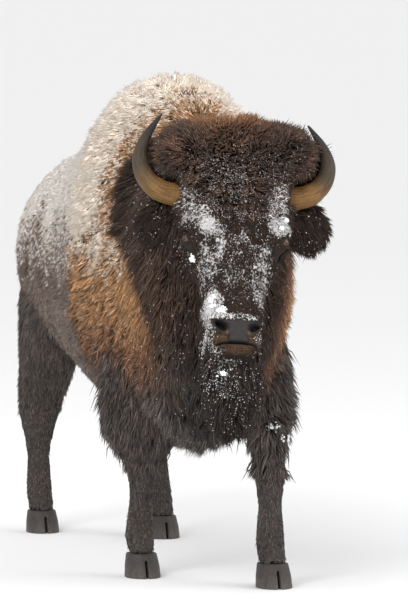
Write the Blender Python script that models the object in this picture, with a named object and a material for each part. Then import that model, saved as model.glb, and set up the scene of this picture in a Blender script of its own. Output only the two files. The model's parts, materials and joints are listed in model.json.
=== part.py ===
"""A life-size still model of a bull American bison in its winter coat, caught in mid stride.

Units are metres. The animal faces -Y, its own left side is +X and it stands on Z = 0.
Every solid shows the outer form of the coat, and neighbours keep a thin gap.
The body is one loft through named sections, cut across into neck, chest, barrel and hindquarters.
The head is built upright in a frame of its own, which is then nodded, turned and tilted.
"""

import math
from collections import namedtuple

import bmesh
import bpy
import numpy as np
from mathutils import Matrix, Vector

# Driving dimensions.
HUMP_HEIGHT = 1.80
SHOULDER_WIDTH = 0.78
HORN_LENGTH = {1: 0.430, -1: 0.465}
HORN_BASE_RADIUS = 0.041
EYE_RADIUS = 0.021
HOOF_HEIGHT = 0.085
KNEE_HEIGHT = 0.43
HOCK_HEIGHT = 0.50
TAIL_LENGTH = 0.56

# How the head is carried.
HEAD_PLACE = Vector((-0.082, -1.30, 1.25))
HEAD_NOD = math.radians(22.0)
HEAD_TURN = math.radians(-11.0)
HEAD_TILT = math.radians(2.6)

GAP = 0.0004
BODY_SIDES = 26
HEAD_SIDES = 22
LEG_SIDES = 10
RADIAL_STEPS_OF_A_DOME = (0.08, 0.35, 0.72)

# Base colour and roughness of each finish.
FINISHES = {
    "dark_coat": ((0.045, 0.032, 0.026), 0.85),
    "cape_coat": ((0.30, 0.17, 0.085), 0.85),
    "flank_coat": ((0.13, 0.095, 0.075), 0.85),
    "horn": ((0.22, 0.14, 0.07), 0.45),
    "hoof": ((0.05, 0.042, 0.036), 0.55),
    "eye": ((0.02, 0.012, 0.008), 0.08),
}

# Heights are shares of HUMP_HEIGHT, widths shares of half the SHOULDER_WIDTH, and a round of 2 is an ellipse.
BodySection = namedtuple(
    "BodySection", "place along top bottom middle wide side round_top round_bottom"
)
BODY = (
    BodySection("buttocks", 1.300, 0.752, 0.455, 0.611, 0.66, 0.00, 2.2, 2.0),
    BodySection("tail_head", 1.080, 0.797, 0.400, 0.594, 0.82, 0.00, 2.4, 2.0),
    BodySection("hips", 0.850, 0.836, 0.368, 0.589, 0.86, 0.00, 2.4, 2.0),
    BodySection("loin", 0.580, 0.862, 0.342, 0.572, 0.845, 0.00, 2.3, 2.0),
    BodySection("barrel", 0.300, 0.932, 0.320, 0.556, 0.90, 0.00, 2.2, 2.1),
    BodySection("girth", 0.030, 0.988, 0.300, 0.544, 0.97, 0.00, 2.2, 2.1),
    BodySection("hump", -0.160, 1.000, 0.285, 0.539, 1.00, 0.00, 2.3, 2.0),
    BodySection("shoulder", -0.440, 0.966, 0.268, 0.550, 0.94, -0.01, 1.9, 1.7),
    BodySection("brisket", -0.660, 0.930, 0.262, 0.561, 0.85, -0.03, 1.9, 1.6),
    BodySection("neck", -0.860, 0.892, 0.310, 0.594, 0.78, -0.06, 2.0, 1.7),
    BodySection("nape", -1.030, 0.856, 0.380, 0.628, 0.71, -0.08, 2.1, 1.8),
    BodySection("throat", -1.180, 0.810, 0.460, 0.640, 0.56, -0.09, 2.1, 2.0),
)
RUMP_DOME, NECK_DOME = 0.20, 0.10

# Head sections climb from chin to poll. Forward and back are measured from the bridge of the nose.
HeadSection = namedtuple(
    "HeadSection", "place up forward back widest wide round_front round_back"
)
HEAD = (
    HeadSection("chin", -0.448, -0.040, 0.130, 0.080, 0.062, 2.2, 2.0),
    HeadSection("lower_lip", -0.420, -0.016, 0.145, 0.078, 0.080, 2.4, 2.0),
    HeadSection("mouth", -0.402, -0.006, 0.150, 0.076, 0.085, 2.4, 2.0),
    HeadSection("upper_lip", -0.384, 0.010, 0.154, 0.074, 0.097, 2.6, 2.0),
    HeadSection("nostrils", -0.345, 0.018, 0.162, 0.072, 0.102, 2.6, 2.0),
    HeadSection("muzzle", -0.290, 0.014, 0.186, 0.070, 0.100, 2.4, 2.0),
    HeadSection("nose_bridge", -0.210, 0.008, 0.222, 0.074, 0.104, 2.3, 2.0),
    HeadSection("cheek", -0.110, 0.010, 0.275, 0.085, 0.132, 2.3, 1.9),
    HeadSection("eye", 0.000, 0.018, 0.300, 0.090, 0.172, 2.5, 1.8),
    HeadSection("brow", 0.080, 0.032, 0.330, 0.100, 0.184, 2.6, 1.8),
    HeadSection("horn_root", 0.170, 0.036, 0.340, 0.110, 0.186, 2.5, 2.0),
    HeadSection("poll", 0.250, 0.000, 0.320, 0.130, 0.160, 2.3, 2.0),
    HeadSection("skull_top", 0.290, -0.030, 0.300, 0.140, 0.140, 2.2, 2.0),
)
# The crown is the mass of curled hair that stands on the forehead and poll, between the horns.
CROWN = (
    HeadSection("fringe", 0.040, 0.048, 0.150, 0.060, 0.120, 2.4, 2.0),
    HeadSection("forehead", 0.120, 0.078, 0.300, 0.090, 0.190, 2.4, 2.2),
    HeadSection("horn_level", 0.200, 0.096, 0.350, 0.100, 0.232, 2.4, 2.3),
    HeadSection("fullest", 0.300, 0.090, 0.360, 0.110, 0.272, 2.4, 2.3),
    HeadSection("shoulder", 0.390, 0.060, 0.340, 0.120, 0.255, 2.3, 2.2),
    HeadSection("crest", 0.475, -0.010, 0.270, 0.120, 0.190, 2.1, 2.0),
)
BEARD = (
    HeadSection("tip", -0.270, 0.020, 0.040, 0.000, 0.045, 2.0, 2.0),
    HeadSection("taper", -0.200, 0.045, 0.085, 0.000, 0.082, 2.0, 2.0),
    HeadSection("fullest", -0.080, 0.070, 0.160, 0.000, 0.110, 2.0, 2.0),
    HeadSection("root", 0.020, 0.075, 0.250, 0.000, 0.112, 2.0, 2.0),
    HeadSection("jaw", 0.150, 0.040, 0.300, 0.000, 0.100, 2.0, 2.0),
)
BEARD_ROOT = Vector((0.0, 0.105, -0.400))
EAR = (
    HeadSection("tip", -0.205, 0.020, 0.022, 0.000, 0.050, 2.0, 2.0),
    HeadSection("fringe", -0.165, 0.040, 0.044, 0.000, 0.084, 2.0, 2.0),
    HeadSection("fullest", -0.090, 0.055, 0.060, 0.000, 0.104, 2.0, 2.0),
    HeadSection("root", 0.000, 0.048, 0.055, 0.000, 0.080, 2.0, 2.0),
    HeadSection("inside_head", 0.050, 0.030, 0.035, 0.000, 0.050, 2.0, 2.0),
)
EAR_ROOT = Vector((0.165, 0.140, 0.168))
EAR_SPREAD = math.radians(50.0)
EAR_SWEEP = math.radians(10.0)

# The heading of the horn's centre line, in degrees up from level, at shares of its length.
HORN_HEADINGS = ((0.0, -22), (0.18, 2), (0.24, 14), (0.37, 44), (0.50, 73), (0.66, 104), (0.82, 119), (1.0, 123))
HORN_ROOT = (0.130, 0.100, 0.192)
HORN_STEPS, HORN_SIDES = 13, 10
HORN_TAPER, HORN_TIP_RADIUS, HORN_SWAY = 0.72, 0.003, 0.030

# A swelling or hollow pushed into the head around a point, on both sides of the face.
Dent = namedtuple("Dent", "place centre reach push")
DENTS = (
    Dent("eye_socket", (0.172, 0.030, -0.005), 0.035, (-0.010, 0.002, 0.000)),
    Dent("brow_ridge", (0.165, 0.030, 0.050), 0.045, (0.014, -0.006, 0.000)),
    Dent("cheek_bone", (0.150, 0.060, -0.070), 0.050, (0.010, 0.000, 0.000)),
    Dent("face_hollow", (0.115, 0.030, -0.170), 0.060, (-0.012, 0.006, 0.000)),
    Dent("nostril_wing", (0.092, -0.004, -0.330), 0.034, (0.006, -0.006, 0.000)),
    Dent("nostril", (0.050, -0.020, -0.338), 0.022, (0.002, 0.018, 0.000)),
)
EYE_PLACE = Vector((0.161, 0.042, 0.000))

# A leg's joints run from inside the body down to the top of the hoof.
LegJoint = namedtuple("LegJoint", "place up along side wide deep")
STANDING_FORE = (
    ("shoulder", 1.000, 0.120, 0.190),
    ("elbow", 0.800, 0.150, 0.190),
    ("forearm", 0.640, 0.168, 0.175),
    ("chaps", 0.530, 0.160, 0.165),
    ("above_knee", 0.470, 0.128, 0.132),
    ("knee", KNEE_HEIGHT - 0.02, 0.074, 0.078),
    ("cannon", 0.280, 0.048, 0.053),
    ("fetlock", 0.150, 0.058, 0.062),
    ("coronet", HOOF_HEIGHT, 0.055, 0.062),
)
STEPPING_FORE = (
    ("shoulder", 1.000, 0.110, 0.180),
    ("elbow", 0.800, 0.130, 0.180),
    ("forearm", 0.680, 0.130, 0.155),
    ("chaps", 0.600, 0.116, 0.135),
    ("above_knee", 0.510, 0.086, 0.098),
    ("knee", KNEE_HEIGHT - 0.02, 0.066, 0.072),
    ("cannon", 0.280, 0.048, 0.053),
    ("fetlock", 0.150, 0.058, 0.062),
    ("coronet", HOOF_HEIGHT, 0.055, 0.062),
)
HIND_GIRTHS = (
    ("hip", 1.080, 0.110, 0.260),
    ("thigh", 0.900, 0.130, 0.260),
    ("stifle", 0.740, 0.124, 0.225),
    ("gaskin", 0.610, 0.108, 0.175),
    ("hock", HOCK_HEIGHT, 0.094, 0.124),
    ("below_hock", 0.420, 0.074, 0.088),
    ("cannon", 0.290, 0.049, 0.056),
    ("fetlock", 0.150, 0.057, 0.061),
    ("coronet", HOOF_HEIGHT, 0.055, 0.062),
)
# Where each joint of each leg stands along the body, top to bottom, and how far out to its side.
STRIDE = {
    "foreleg_right": (
        STANDING_FORE,
        -1,
        (-0.46, -0.46, -0.46, -0.45, -0.445, -0.44, -0.415, -0.39, -0.415),
        (0.210, 0.205, 0.195, 0.190, 0.190, 0.190, 0.190, 0.190, 0.190),
    ),
    "foreleg_left": (
        STEPPING_FORE,
        1,
        (-0.50, -0.58, -0.66, -0.72, -0.77, -0.79, -0.80, -0.80, -0.83),
        (0.190, 0.185, 0.182, 0.180, 0.180, 0.180, 0.180, 0.180, 0.180),
    ),
    "hindleg_right": (
        HIND_GIRTHS,
        -1,
        (0.96, 0.96, 0.98, 1.05, 1.13, 1.15, 1.145, 1.13, 1.095),
        (0.190, 0.195, 0.200, 0.202, 0.206, 0.208, 0.210, 0.210, 0.210),
    ),
    "hindleg_left": (
        HIND_GIRTHS,
        1,
        (0.93, 0.88, 0.85, 0.86, 0.905, 0.900, 0.865, 0.825, 0.785),
        (0.190, 0.190, 0.195, 0.195, 0.195, 0.195, 0.195, 0.195, 0.195),
    ),
}
HOOF = (
    LegJoint("sole", 0.000, -0.022, 0.0, 0.064, 0.078),
    LegJoint("wall", 0.045, -0.012, 0.0, 0.061, 0.071),
    LegJoint("crown", HOOF_HEIGHT - GAP, 0.000, 0.0, 0.054, 0.061),
)
CLEFT_WIDTH, CLEFT_HEIGHT = 0.009, 0.062
DEWCLAW_PLACE, DEWCLAW_SPREAD = Vector((0.0, 0.070, 0.045)), 0.024
DEWCLAW_RADII = (0.012, 0.016, 0.024)

TAIL = (
    LegJoint("root", 1.340, 1.230, 0.000, 0.030, 0.028),
    LegJoint("upper", 1.270, 1.305, 0.004, 0.036, 0.034),
    LegJoint("middle", 1.120, 1.352, 0.012, 0.029, 0.028),
    LegJoint("thin", 0.980, 1.368, 0.020, 0.024, 0.024),
    LegJoint("tuft", 0.880, 1.372, 0.026, 0.042, 0.042),
    LegJoint("tuft_end", 1.340 - TAIL_LENGTH, 1.372, 0.030, 0.026, 0.028),
)

# The body parts that each leg grows out of.
CARRIERS = {
    "foreleg_right_upper": ("chest",),
    "foreleg_left_upper": ("chest", "neck"),
    "hindleg_right_upper": ("barrel", "hindquarters"),
    "hindleg_left_upper": ("barrel", "hindquarters"),
}

# The cuts across the body: the point that each plane passes through, and its slope from upright.
CUTS = {
    "neck": (-0.80, math.radians(12.0)),
    "chest": (-0.02, math.radians(-12.0)),
    "barrel": (0.62, math.radians(6.0)),
}


def smooth(knots, values, at):
    """A monotone cubic through the knots, read at each point of at, with no overshoot between them."""
    knots, values = np.asarray(knots, float), np.asarray(values, float)
    steps = np.diff(knots)
    rises = np.diff(values) / steps
    slopes = np.zeros(len(knots))
    for i in range(1, len(knots) - 1):
        if rises[i - 1] * rises[i] > 0:
            near, far = 2 * steps[i] + steps[i - 1], steps[i] + 2 * steps[i - 1]
            slopes[i] = (near + far) / (near / rises[i - 1] + far / rises[i])
    slopes[0], slopes[-1] = rises[0], rises[-1]
    span = np.clip(np.searchsorted(knots, at) - 1, 0, len(steps) - 1)
    t = (at - knots[span]) / steps[span]
    start = (2 * t**3 - 3 * t**2 + 1) * values[span]
    finish = (3 * t**2 - 2 * t**3) * values[span + 1]
    leave = (t**3 - 2 * t**2 + t) * steps[span] * slopes[span]
    arrive = (t**3 - t**2) * steps[span] * slopes[span + 1]
    return start + finish + leave + arrive


def read_sections(sections, key, at):
    """Every number of the sections, by name, made smooth along the key and read at each place."""
    ordered = sorted(sections, key=lambda s: getattr(s, key))
    knots = [getattr(s, key) for s in ordered]
    numbers = [f for f in ordered[0]._fields if f not in ("place", key)]
    return {f: smooth(knots, [getattr(s, f) for s in ordered], at) for f in numbers}


def stations(low, high, count, low_dome=0.0, high_dome=0.0):
    """Places from low to high with extra ones in the rounded ends, and how far each ring has shrunk there."""
    inner = np.linspace(low + low_dome, high - high_dome, count)
    steps = np.array(RADIAL_STEPS_OF_A_DOME)
    shrink = np.sqrt(1 - (1 - steps) ** 2)
    at, scale = inner, np.ones(count)
    if low_dome:
        at = np.concatenate([low + low_dome * steps, at])
        scale = np.concatenate([shrink, scale])
    if high_dome:
        at = np.concatenate([at, (high - high_dome * steps)[::-1]])
        scale = np.concatenate([scale, shrink[::-1]])
    return at, scale


def oval(sides, wide, plus, minus, round_plus, round_minus):
    """A closed ring of sides points in a plane: half width wide, plus above its middle and minus below it."""
    angles = (np.arange(sides) + 0.5) * 2 * math.pi / sides
    across, up = np.cos(angles), np.sin(angles)
    power = np.where(up > 0, 2 / round_plus, 2 / round_minus)
    height = np.where(up > 0, plus, minus)
    return (
        wide * np.sign(across) * np.abs(across) ** power,
        height * np.sign(up) * np.abs(up) ** power,
    )


def finish(name):
    """The material of that name, made on first use."""
    made = bpy.data.materials.get(name)
    if made is None:
        colour, roughness = FINISHES[name]
        made = bpy.data.materials.new(name)
        made.use_nodes = True
        shader = made.node_tree.nodes["Principled BSDF"]
        shader.inputs["Base Color"].default_value = (*colour, 1.0)
        shader.inputs["Roughness"].default_value = roughness
        made.diffuse_color = (*colour, 1.0)
    return made


def add_object(name, mesh, material):
    made = bpy.data.objects.new(name, mesh)
    bpy.context.scene.collection.objects.link(made)
    mesh.materials.append(finish(material))
    mesh.shade_smooth()
    return made


def skin_rings(name, rings):
    """One closed mesh over rings of like point counts: a band of faces between neighbours and a cap on each end."""
    count, sides = len(rings), len(rings[0])
    points = [tuple(p) for ring in rings for p in ring]
    faces = []
    for i in range(count - 1):
        for j in range(sides):
            k = (j + 1) % sides
            faces.append((i * sides + j, i * sides + k, (i + 1) * sides + k, (i + 1) * sides + j))
    faces.append(tuple(range(sides))[::-1])
    faces.append(tuple((count - 1) * sides + j for j in range(sides)))
    mesh = bpy.data.meshes.new(name)
    mesh.from_pydata(points, [], faces)
    bm = bmesh.new()
    bm.from_mesh(mesh)
    bmesh.ops.recalc_face_normals(bm, faces=bm.faces)
    bmesh.ops.triangulate(bm, faces=bm.faces)
    bm.to_mesh(mesh)
    bm.free()
    return mesh


def body_mesh():
    """The whole body from buttocks to throat, before it is cut across."""
    front, rear = BODY[-1].along, BODY[0].along
    at, scale = stations(front, rear, 19, NECK_DOME, RUMP_DOME)
    row = read_sections(BODY, "along", at)
    rings = []
    for i, along in enumerate(at):
        top, bottom, middle = (row[k][i] * HUMP_HEIGHT for k in ("top", "bottom", "middle"))
        wide = row["wide"][i] * SHOULDER_WIDTH / 2 * scale[i]
        across, up = oval(
            BODY_SIDES,
            wide,
            (top - middle) * scale[i],
            (middle - bottom) * scale[i],
            row["round_top"][i],
            row["round_bottom"][i],
        )
        rings.append(
            np.stack([row["side"][i] + across, np.full(BODY_SIDES, along), middle + up], 1)
        )
    return skin_rings("body", rings)


def upright_rings(sections, count, sides, low_dome, high_dome):
    """Rings of a form that is lofted upwards in the head's frame, where the face looks along -Y."""
    low = min(s.up for s in sections)
    high = max(s.up for s in sections)
    at, scale = stations(low, high, count, low_dome, high_dome)
    row = read_sections(sections, "up", at)
    rings = []
    for i, up in enumerate(at):
        across, away = oval(
            sides,
            row["wide"][i] * scale[i],
            (row["back"][i] - row["widest"][i]) * scale[i],
            (row["widest"][i] + row["forward"][i]) * scale[i],
            row["round_back"][i],
            row["round_front"][i],
        )
        rings.append(np.stack([across, row["widest"][i] + away, np.full(sides, up)], 1))
    return rings


def dented(rings):
    """The head's rings with each hollow and swelling of DENTS pushed into both sides."""
    for dent in DENTS:
        for side in (1, -1):
            mirror = np.array([side, 1, 1])
            centre, push = np.array(dent.centre) * mirror, np.array(dent.push) * mirror
            for ring in rings:
                near = np.exp(-(((ring - centre) ** 2).sum(1)) / dent.reach**2)
                ring += near[:, None] * push
    return rings


def leg_mesh(name, joints, count, sides):
    """A leg or the tail: level ovals up a centre line through the joints, with flat ends."""
    low, high = min(j.up for j in joints), max(j.up for j in joints)
    at, scale = stations(low, high, count)
    row = read_sections(joints, "up", at)
    rings = []
    for i, up in enumerate(at):
        across, away = oval(sides, row["wide"][i], row["deep"][i], row["deep"][i], 2.1, 2.1)
        rings.append(
            np.stack([row["side"][i] + across, row["along"][i] + away, np.full(sides, up)], 1)
        )
    return skin_rings(name, rings)


def horn_mesh(side):
    """A tapered sweep whose heading, measured up from level, follows HORN_HEADINGS."""
    shares = np.arange(HORN_STEPS + 1) / HORN_STEPS
    known, headings = zip(*HORN_HEADINGS)
    headings = np.radians(smooth(known, headings, shares))
    length = HORN_LENGTH[side]
    centre = np.array(HORN_ROOT)
    angles = np.arange(HORN_SIDES) * 2 * math.pi / HORN_SIDES
    rings = []
    for share, heading in zip(shares, headings):
        if share:
            step = np.array([math.cos(heading), 0.0, math.sin(heading)])
            centre = centre + step * length / HORN_STEPS
        radius = HORN_BASE_RADIUS * (1 - share) ** HORN_TAPER + HORN_TIP_RADIUS
        normal = np.array([-math.sin(heading), 0.0, math.cos(heading)])
        forward = np.array([0.0, -HORN_SWAY * math.sin(math.pi * share), 0.0])
        ring = centre + forward + np.outer(np.cos(angles) * radius, normal)
        ring[:, 1] += np.sin(angles) * radius
        rings.append(ring * [side, 1, 1])
    return skin_rings("horn", rings)


def ball_mesh(radii, steps=(10, 6)):
    """An ellipsoid around its own origin."""
    bm = bmesh.new()
    bmesh.ops.create_uvsphere(bm, u_segments=steps[0], v_segments=steps[1], radius=1.0)
    bmesh.ops.scale(bm, vec=radii, verts=bm.verts)
    mesh = bpy.data.meshes.new("ball")
    bm.to_mesh(mesh)
    bm.free()
    return mesh


def keep_side(mesh, point, normal):
    """Cuts the mesh flat at a plane, drops what lies along its normal and caps the cut."""
    bm = bmesh.new()
    bm.from_mesh(mesh)
    everything = bm.verts[:] + bm.edges[:] + bm.faces[:]
    bmesh.ops.bisect_plane(bm, geom=everything, plane_co=point, plane_no=normal, clear_outer=True)
    open_edges = [e for e in bm.edges if e.is_boundary]
    bmesh.ops.contextual_create(bm, geom=open_edges)
    bmesh.ops.triangulate(bm, faces=bm.faces)
    bmesh.ops.recalc_face_normals(bm, faces=bm.faces)
    bm.to_mesh(mesh)
    bm.free()
    return mesh


def slice_body():
    """Cuts the body across into its four named parts, with a thin gap at each cut."""
    whole = body_mesh()
    order = ("neck", "chest", "barrel", "hindquarters")
    coats = ("dark_coat", "cape_coat", "flank_coat", "flank_coat")
    parts = {}
    for i, (name, coat) in enumerate(zip(order, coats)):
        mesh = whole.copy()
        if i > 0:
            along, slope = CUTS[order[i - 1]]
            normal = Vector((0.0, -math.cos(slope), math.sin(slope)))
            point = Vector((0.0, along, HUMP_HEIGHT / 2)) - normal * GAP / 2
            keep_side(mesh, point, normal)
        if i < len(order) - 1:
            along, slope = CUTS[name]
            normal = Vector((0.0, math.cos(slope), -math.sin(slope)))
            point = Vector((0.0, along, HUMP_HEIGHT / 2)) - normal * GAP / 2
            keep_side(mesh, point, normal)
        parts[name] = add_object(name, mesh, coat)
    return parts


def bake_modifiers(made):
    """Leaves the object with its evaluated mesh and no modifiers."""
    bpy.context.view_layer.update()
    graph = bpy.context.evaluated_depsgraph_get()
    mesh = bpy.data.meshes.new_from_object(made.evaluated_get(graph))
    bm = bmesh.new()
    bm.from_mesh(mesh)
    bmesh.ops.recalc_face_normals(bm, faces=bm.faces)
    bm.to_mesh(mesh)
    bm.free()
    made.modifiers.clear()
    made.data = mesh


def swollen(guest):
    """A hidden copy of a part, a hair larger than the part, to cut its socket with."""
    cutter = bpy.data.objects.new("cutter_" + guest.name, guest.data.copy())
    bpy.context.scene.collection.objects.link(cutter)
    cutter.matrix_world = guest.matrix_world
    swell = cutter.modifiers.new("swell", "DISPLACE")
    swell.strength, swell.mid_level = GAP, 0.0
    bake_modifiers(cutter)
    cutter.hide_render, cutter.display_type = True, "WIRE"
    return cutter


def carve(carrier, *cutters):
    """Takes each cutter's shape out of the carrier."""
    for cutter in cutters:
        cut = carrier.modifiers.new("socket", "BOOLEAN")
        cut.operation, cut.solver, cut.object = "DIFFERENCE", "EXACT", cutter
        bake_modifiers(carrier)


def head_matrix():
    """The head's frame: tilted to one side, nodded and turned, at its place."""
    turn = Matrix.Rotation(HEAD_TURN, 4, "Z")
    nod = Matrix.Rotation(-HEAD_NOD, 4, "X")
    tilt = Matrix.Rotation(HEAD_TILT, 4, "Y")
    return Matrix.Translation(HEAD_PLACE) @ turn @ nod @ tilt


def build_head():
    """The head with its crown, beard, ears, eyes and horns, each placed by the head's frame."""
    frame = head_matrix()
    parts = {}

    def place(name, mesh, material, local=None):
        made = add_object(name, mesh, material)
        made.matrix_world = frame @ (local or Matrix.Identity(4))
        parts[name] = made

    place(
        "head",
        skin_rings("head", dented(upright_rings(HEAD, 15, HEAD_SIDES, 0.022, 0.06))),
        "dark_coat",
    )
    place("crown", skin_rings("crown", upright_rings(CROWN, 5, 16, 0.05, 0.09)), "dark_coat")
    for side, word in ((1, "left"), (-1, "right")):
        mirror = Matrix.Diagonal((side, 1, 1, 1))
        eye_at = Matrix.Translation(mirror @ EYE_PLACE)
        place("eye_" + word, ball_mesh((EYE_RADIUS,) * 3), "eye", eye_at)
        place("horn_" + word, horn_mesh(side), "horn")
        hang = Matrix.Rotation(-side * EAR_SPREAD, 4, "Y") @ Matrix.Rotation(EAR_SWEEP, 4, "X")
        ear_at = Matrix.Translation(mirror @ EAR_ROOT) @ hang
        ear = skin_rings("ear", upright_rings(EAR, 5, 10, 0.03, 0.02))
        place("ear_" + word, ear, "dark_coat", ear_at)

    beard = add_object(
        "beard", skin_rings("beard", upright_rings(BEARD, 5, 12, 0.05, 0.03)), "dark_coat"
    )
    turn = Matrix.Rotation(HEAD_TURN, 4, "Z")
    beard.matrix_world = Matrix.Translation(frame @ BEARD_ROOT) @ turn
    parts["beard"] = beard
    return parts


def build_leg(name):
    """One leg in two lengths, with its hoof and two dewclaws."""
    girths, side, alongs, sides_out = STRIDE[name]
    joints = [
        LegJoint(place, up, along, side * out, wide, deep)
        for (place, up, wide, deep), along, out in zip(girths, alongs, sides_out)
    ]
    bend = (KNEE_HEIGHT if name.startswith("fore") else HOCK_HEIGHT) - 0.02
    whole = leg_mesh(name, joints, 15, LEG_SIDES)
    upper = keep_side(whole.copy(), (0, 0, bend + GAP / 2), (0, 0, -1))
    lower = keep_side(whole.copy(), (0, 0, bend - GAP / 2), (0, 0, 1))
    coat = "dark_coat" if name.startswith("fore") else "flank_coat"
    parts = {
        name + "_upper": add_object(name + "_upper", upper, coat),
        name + "_lower": add_object(name + "_lower", lower, coat),
    }

    foot = Vector((joints[-1].side, joints[-1].along, 0.0))
    hoof_name = name.replace("leg", "hoof")
    hoof = add_object(hoof_name, leg_mesh(hoof_name, HOOF, 3, 16), "hoof")
    hoof.location = foot
    bpy.context.view_layer.update()
    bm = bmesh.new()
    bmesh.ops.create_cube(bm, size=1.0)
    bmesh.ops.scale(bm, vec=(CLEFT_WIDTH, 0.4, 2 * CLEFT_HEIGHT), verts=bm.verts)
    slot = bpy.data.meshes.new("slot")
    bm.to_mesh(slot)
    bm.free()
    cutter = bpy.data.objects.new("cutter", slot)
    bpy.context.scene.collection.objects.link(cutter)
    cutter.location = foot
    carve(hoof, cutter)
    bpy.data.objects.remove(cutter)
    parts[hoof_name] = hoof

    for step, word in ((-1, "inner"), (1, "outer")):
        claw_name = f"{name.replace('leg', 'dewclaw')}_{word}"
        claw = add_object(claw_name, ball_mesh(DEWCLAW_RADII, (6, 4)), "hoof")
        claw.location = foot + DEWCLAW_PLACE + Vector((step * side * DEWCLAW_SPREAD, 0, HOOF_HEIGHT))
        claw.rotation_euler = (math.radians(-24.0), 0, 0)
        bpy.context.view_layer.update()
        socket = swollen(claw)
        carve(parts[name + "_lower"], socket)
        bpy.data.objects.remove(socket)
        parts[claw_name] = claw
    return parts


def stand_at_origin(parts):
    """Moves everything together, so that the middle of the base of the whole is the origin."""
    bpy.context.view_layer.update()
    corners = np.array([p.matrix_world @ v.co for p in parts for v in p.data.vertices])
    middle = (corners.min(0) + corners.max(0)) / 2
    shift = Matrix.Translation((-middle[0], -middle[1], -corners[:, 2].min()))
    for part in parts:
        part.matrix_world = shift @ part.matrix_world


def build_bison():
    for old in list(bpy.data.objects):
        bpy.data.objects.remove(old)
    body = slice_body()
    head = build_head()
    legs = {}
    for name in STRIDE:
        legs.update(build_leg(name))
    tail = add_object("tail", leg_mesh("tail", TAIL, 10, 8), "flank_coat")
    bpy.context.view_layer.update()

    body["tail"] = tail
    cutters = {name: swollen(part) for name, part in {**head, **body}.items()}
    horns = [cutters["horn_left"], cutters["horn_right"]]
    eyes = [cutters["eye_left"], cutters["eye_right"]]
    ears = [cutters["ear_left"], cutters["ear_right"]]
    carve(head["head"], *horns, *eyes)
    carve(head["crown"], *horns, cutters["head"])
    for ear in ("ear_left", "ear_right"):
        carve(head[ear], *horns, cutters["head"], cutters["crown"])
    carve(head["beard"], cutters["head"])
    carve(body["neck"], cutters["head"], cutters["crown"], *ears, *horns, cutters["beard"])
    for name, leg in legs.items():
        if name.endswith("_upper"):
            carve(leg, *(cutters[c] for c in CARRIERS[name]))
    carve(tail, cutters["hindquarters"])
    for cutter in cutters.values():
        bpy.data.objects.remove(cutter)
    stand_at_origin([*body.values(), *head.values(), *legs.values()])


build_bison()
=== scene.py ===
"""Dresses the solids of a life-size bison bull, a still museum model in its winter coat.

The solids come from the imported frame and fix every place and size. One skin is drawn over all of the flesh, as far
inside the solids as the coat is deep, and the coat is built on it tuft by tuft. Horns, hooves and eyes stay
separate. Lengths are metres. The animal looks along -Y, its left side is +X, and it stands on z = 0.
"""

import itertools
import json
import math

import bmesh
import bpy
import numpy as np
from mathutils import Matrix, Vector
from mathutils.bvhtree import BVHTree
from mathutils.kdtree import KDTree

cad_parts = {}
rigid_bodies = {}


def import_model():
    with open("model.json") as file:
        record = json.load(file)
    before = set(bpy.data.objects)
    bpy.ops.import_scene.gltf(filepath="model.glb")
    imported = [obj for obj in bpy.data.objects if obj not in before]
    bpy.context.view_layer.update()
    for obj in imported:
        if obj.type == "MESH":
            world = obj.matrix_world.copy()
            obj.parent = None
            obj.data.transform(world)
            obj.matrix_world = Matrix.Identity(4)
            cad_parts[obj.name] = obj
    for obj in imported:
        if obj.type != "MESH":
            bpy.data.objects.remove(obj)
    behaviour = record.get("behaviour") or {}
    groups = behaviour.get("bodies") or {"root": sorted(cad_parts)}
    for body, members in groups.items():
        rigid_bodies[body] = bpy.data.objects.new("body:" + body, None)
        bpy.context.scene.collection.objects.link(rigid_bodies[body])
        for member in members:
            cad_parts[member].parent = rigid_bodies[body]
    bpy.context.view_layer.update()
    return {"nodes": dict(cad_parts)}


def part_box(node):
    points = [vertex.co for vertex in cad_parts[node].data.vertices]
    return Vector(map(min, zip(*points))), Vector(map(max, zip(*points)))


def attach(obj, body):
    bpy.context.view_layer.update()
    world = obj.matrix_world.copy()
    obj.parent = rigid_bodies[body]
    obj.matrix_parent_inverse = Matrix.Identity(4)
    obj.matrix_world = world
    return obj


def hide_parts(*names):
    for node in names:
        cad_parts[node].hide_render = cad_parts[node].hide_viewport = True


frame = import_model()

bl_info = {
    "name": "Winter bison",
    "version": (1, 0, 0),
    "blender": (4, 5, 0),
    "location": "3D View > Sidebar > Bison",
    "description": "Builds the skin, coat, horns, hooves, eyes and snow of a life-size bison",
    "category": "Add Mesh",
}

BODY = "root"
SEED = 20
SIDES = {"left": 1, "right": -1}

# ---- The head's own frame: the face looks along -Y, Z runs up the face and +X is the animal's left. ----
HEAD_TURN, HEAD_NOD, HEAD_TILT = -11.0, -22.0, 2.6  # degrees about Z, X and Y
EYE_PLACE = Vector((0.161, 0.042, 0.0))  # the left eyeball's centre; the right one mirrors it
EYE_RADIUS = 0.021
HORN_ROOT = Vector((0.130, 0.100, 0.192))
NOSE_SHIFT = 0.012  # the nose stands a little to the left of the head's middle
NOSE_PAD_TOP, NOSTRIL_HEIGHT, MOUTH_HEIGHT = -0.293, -0.315, -0.377


def head_frame():
    """The head's placing matrix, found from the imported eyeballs."""
    turn = (
        Matrix.Rotation(math.radians(HEAD_TURN), 4, "Z")
        @ Matrix.Rotation(math.radians(HEAD_NOD), 4, "X")
        @ Matrix.Rotation(math.radians(HEAD_TILT), 4, "Y")
    )
    low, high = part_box("eye_left")
    return Matrix.Translation((low + high) / 2 - turn @ EYE_PLACE) @ turn


HEAD = head_frame()
HEAD_AXES = np.array(HEAD.to_3x3())
HEAD_ORIGIN = np.array(HEAD.translation)


def to_head(points):
    return (points - HEAD_ORIGIN) @ HEAD_AXES


def from_head(points):
    return points @ HEAD_AXES.T + HEAD_ORIGIN


def mirrored(place, side):
    """A place on the head's left side for 1, and its mirror image for -1."""
    return Vector((place[0] * side, place[1], place[2]))


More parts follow.
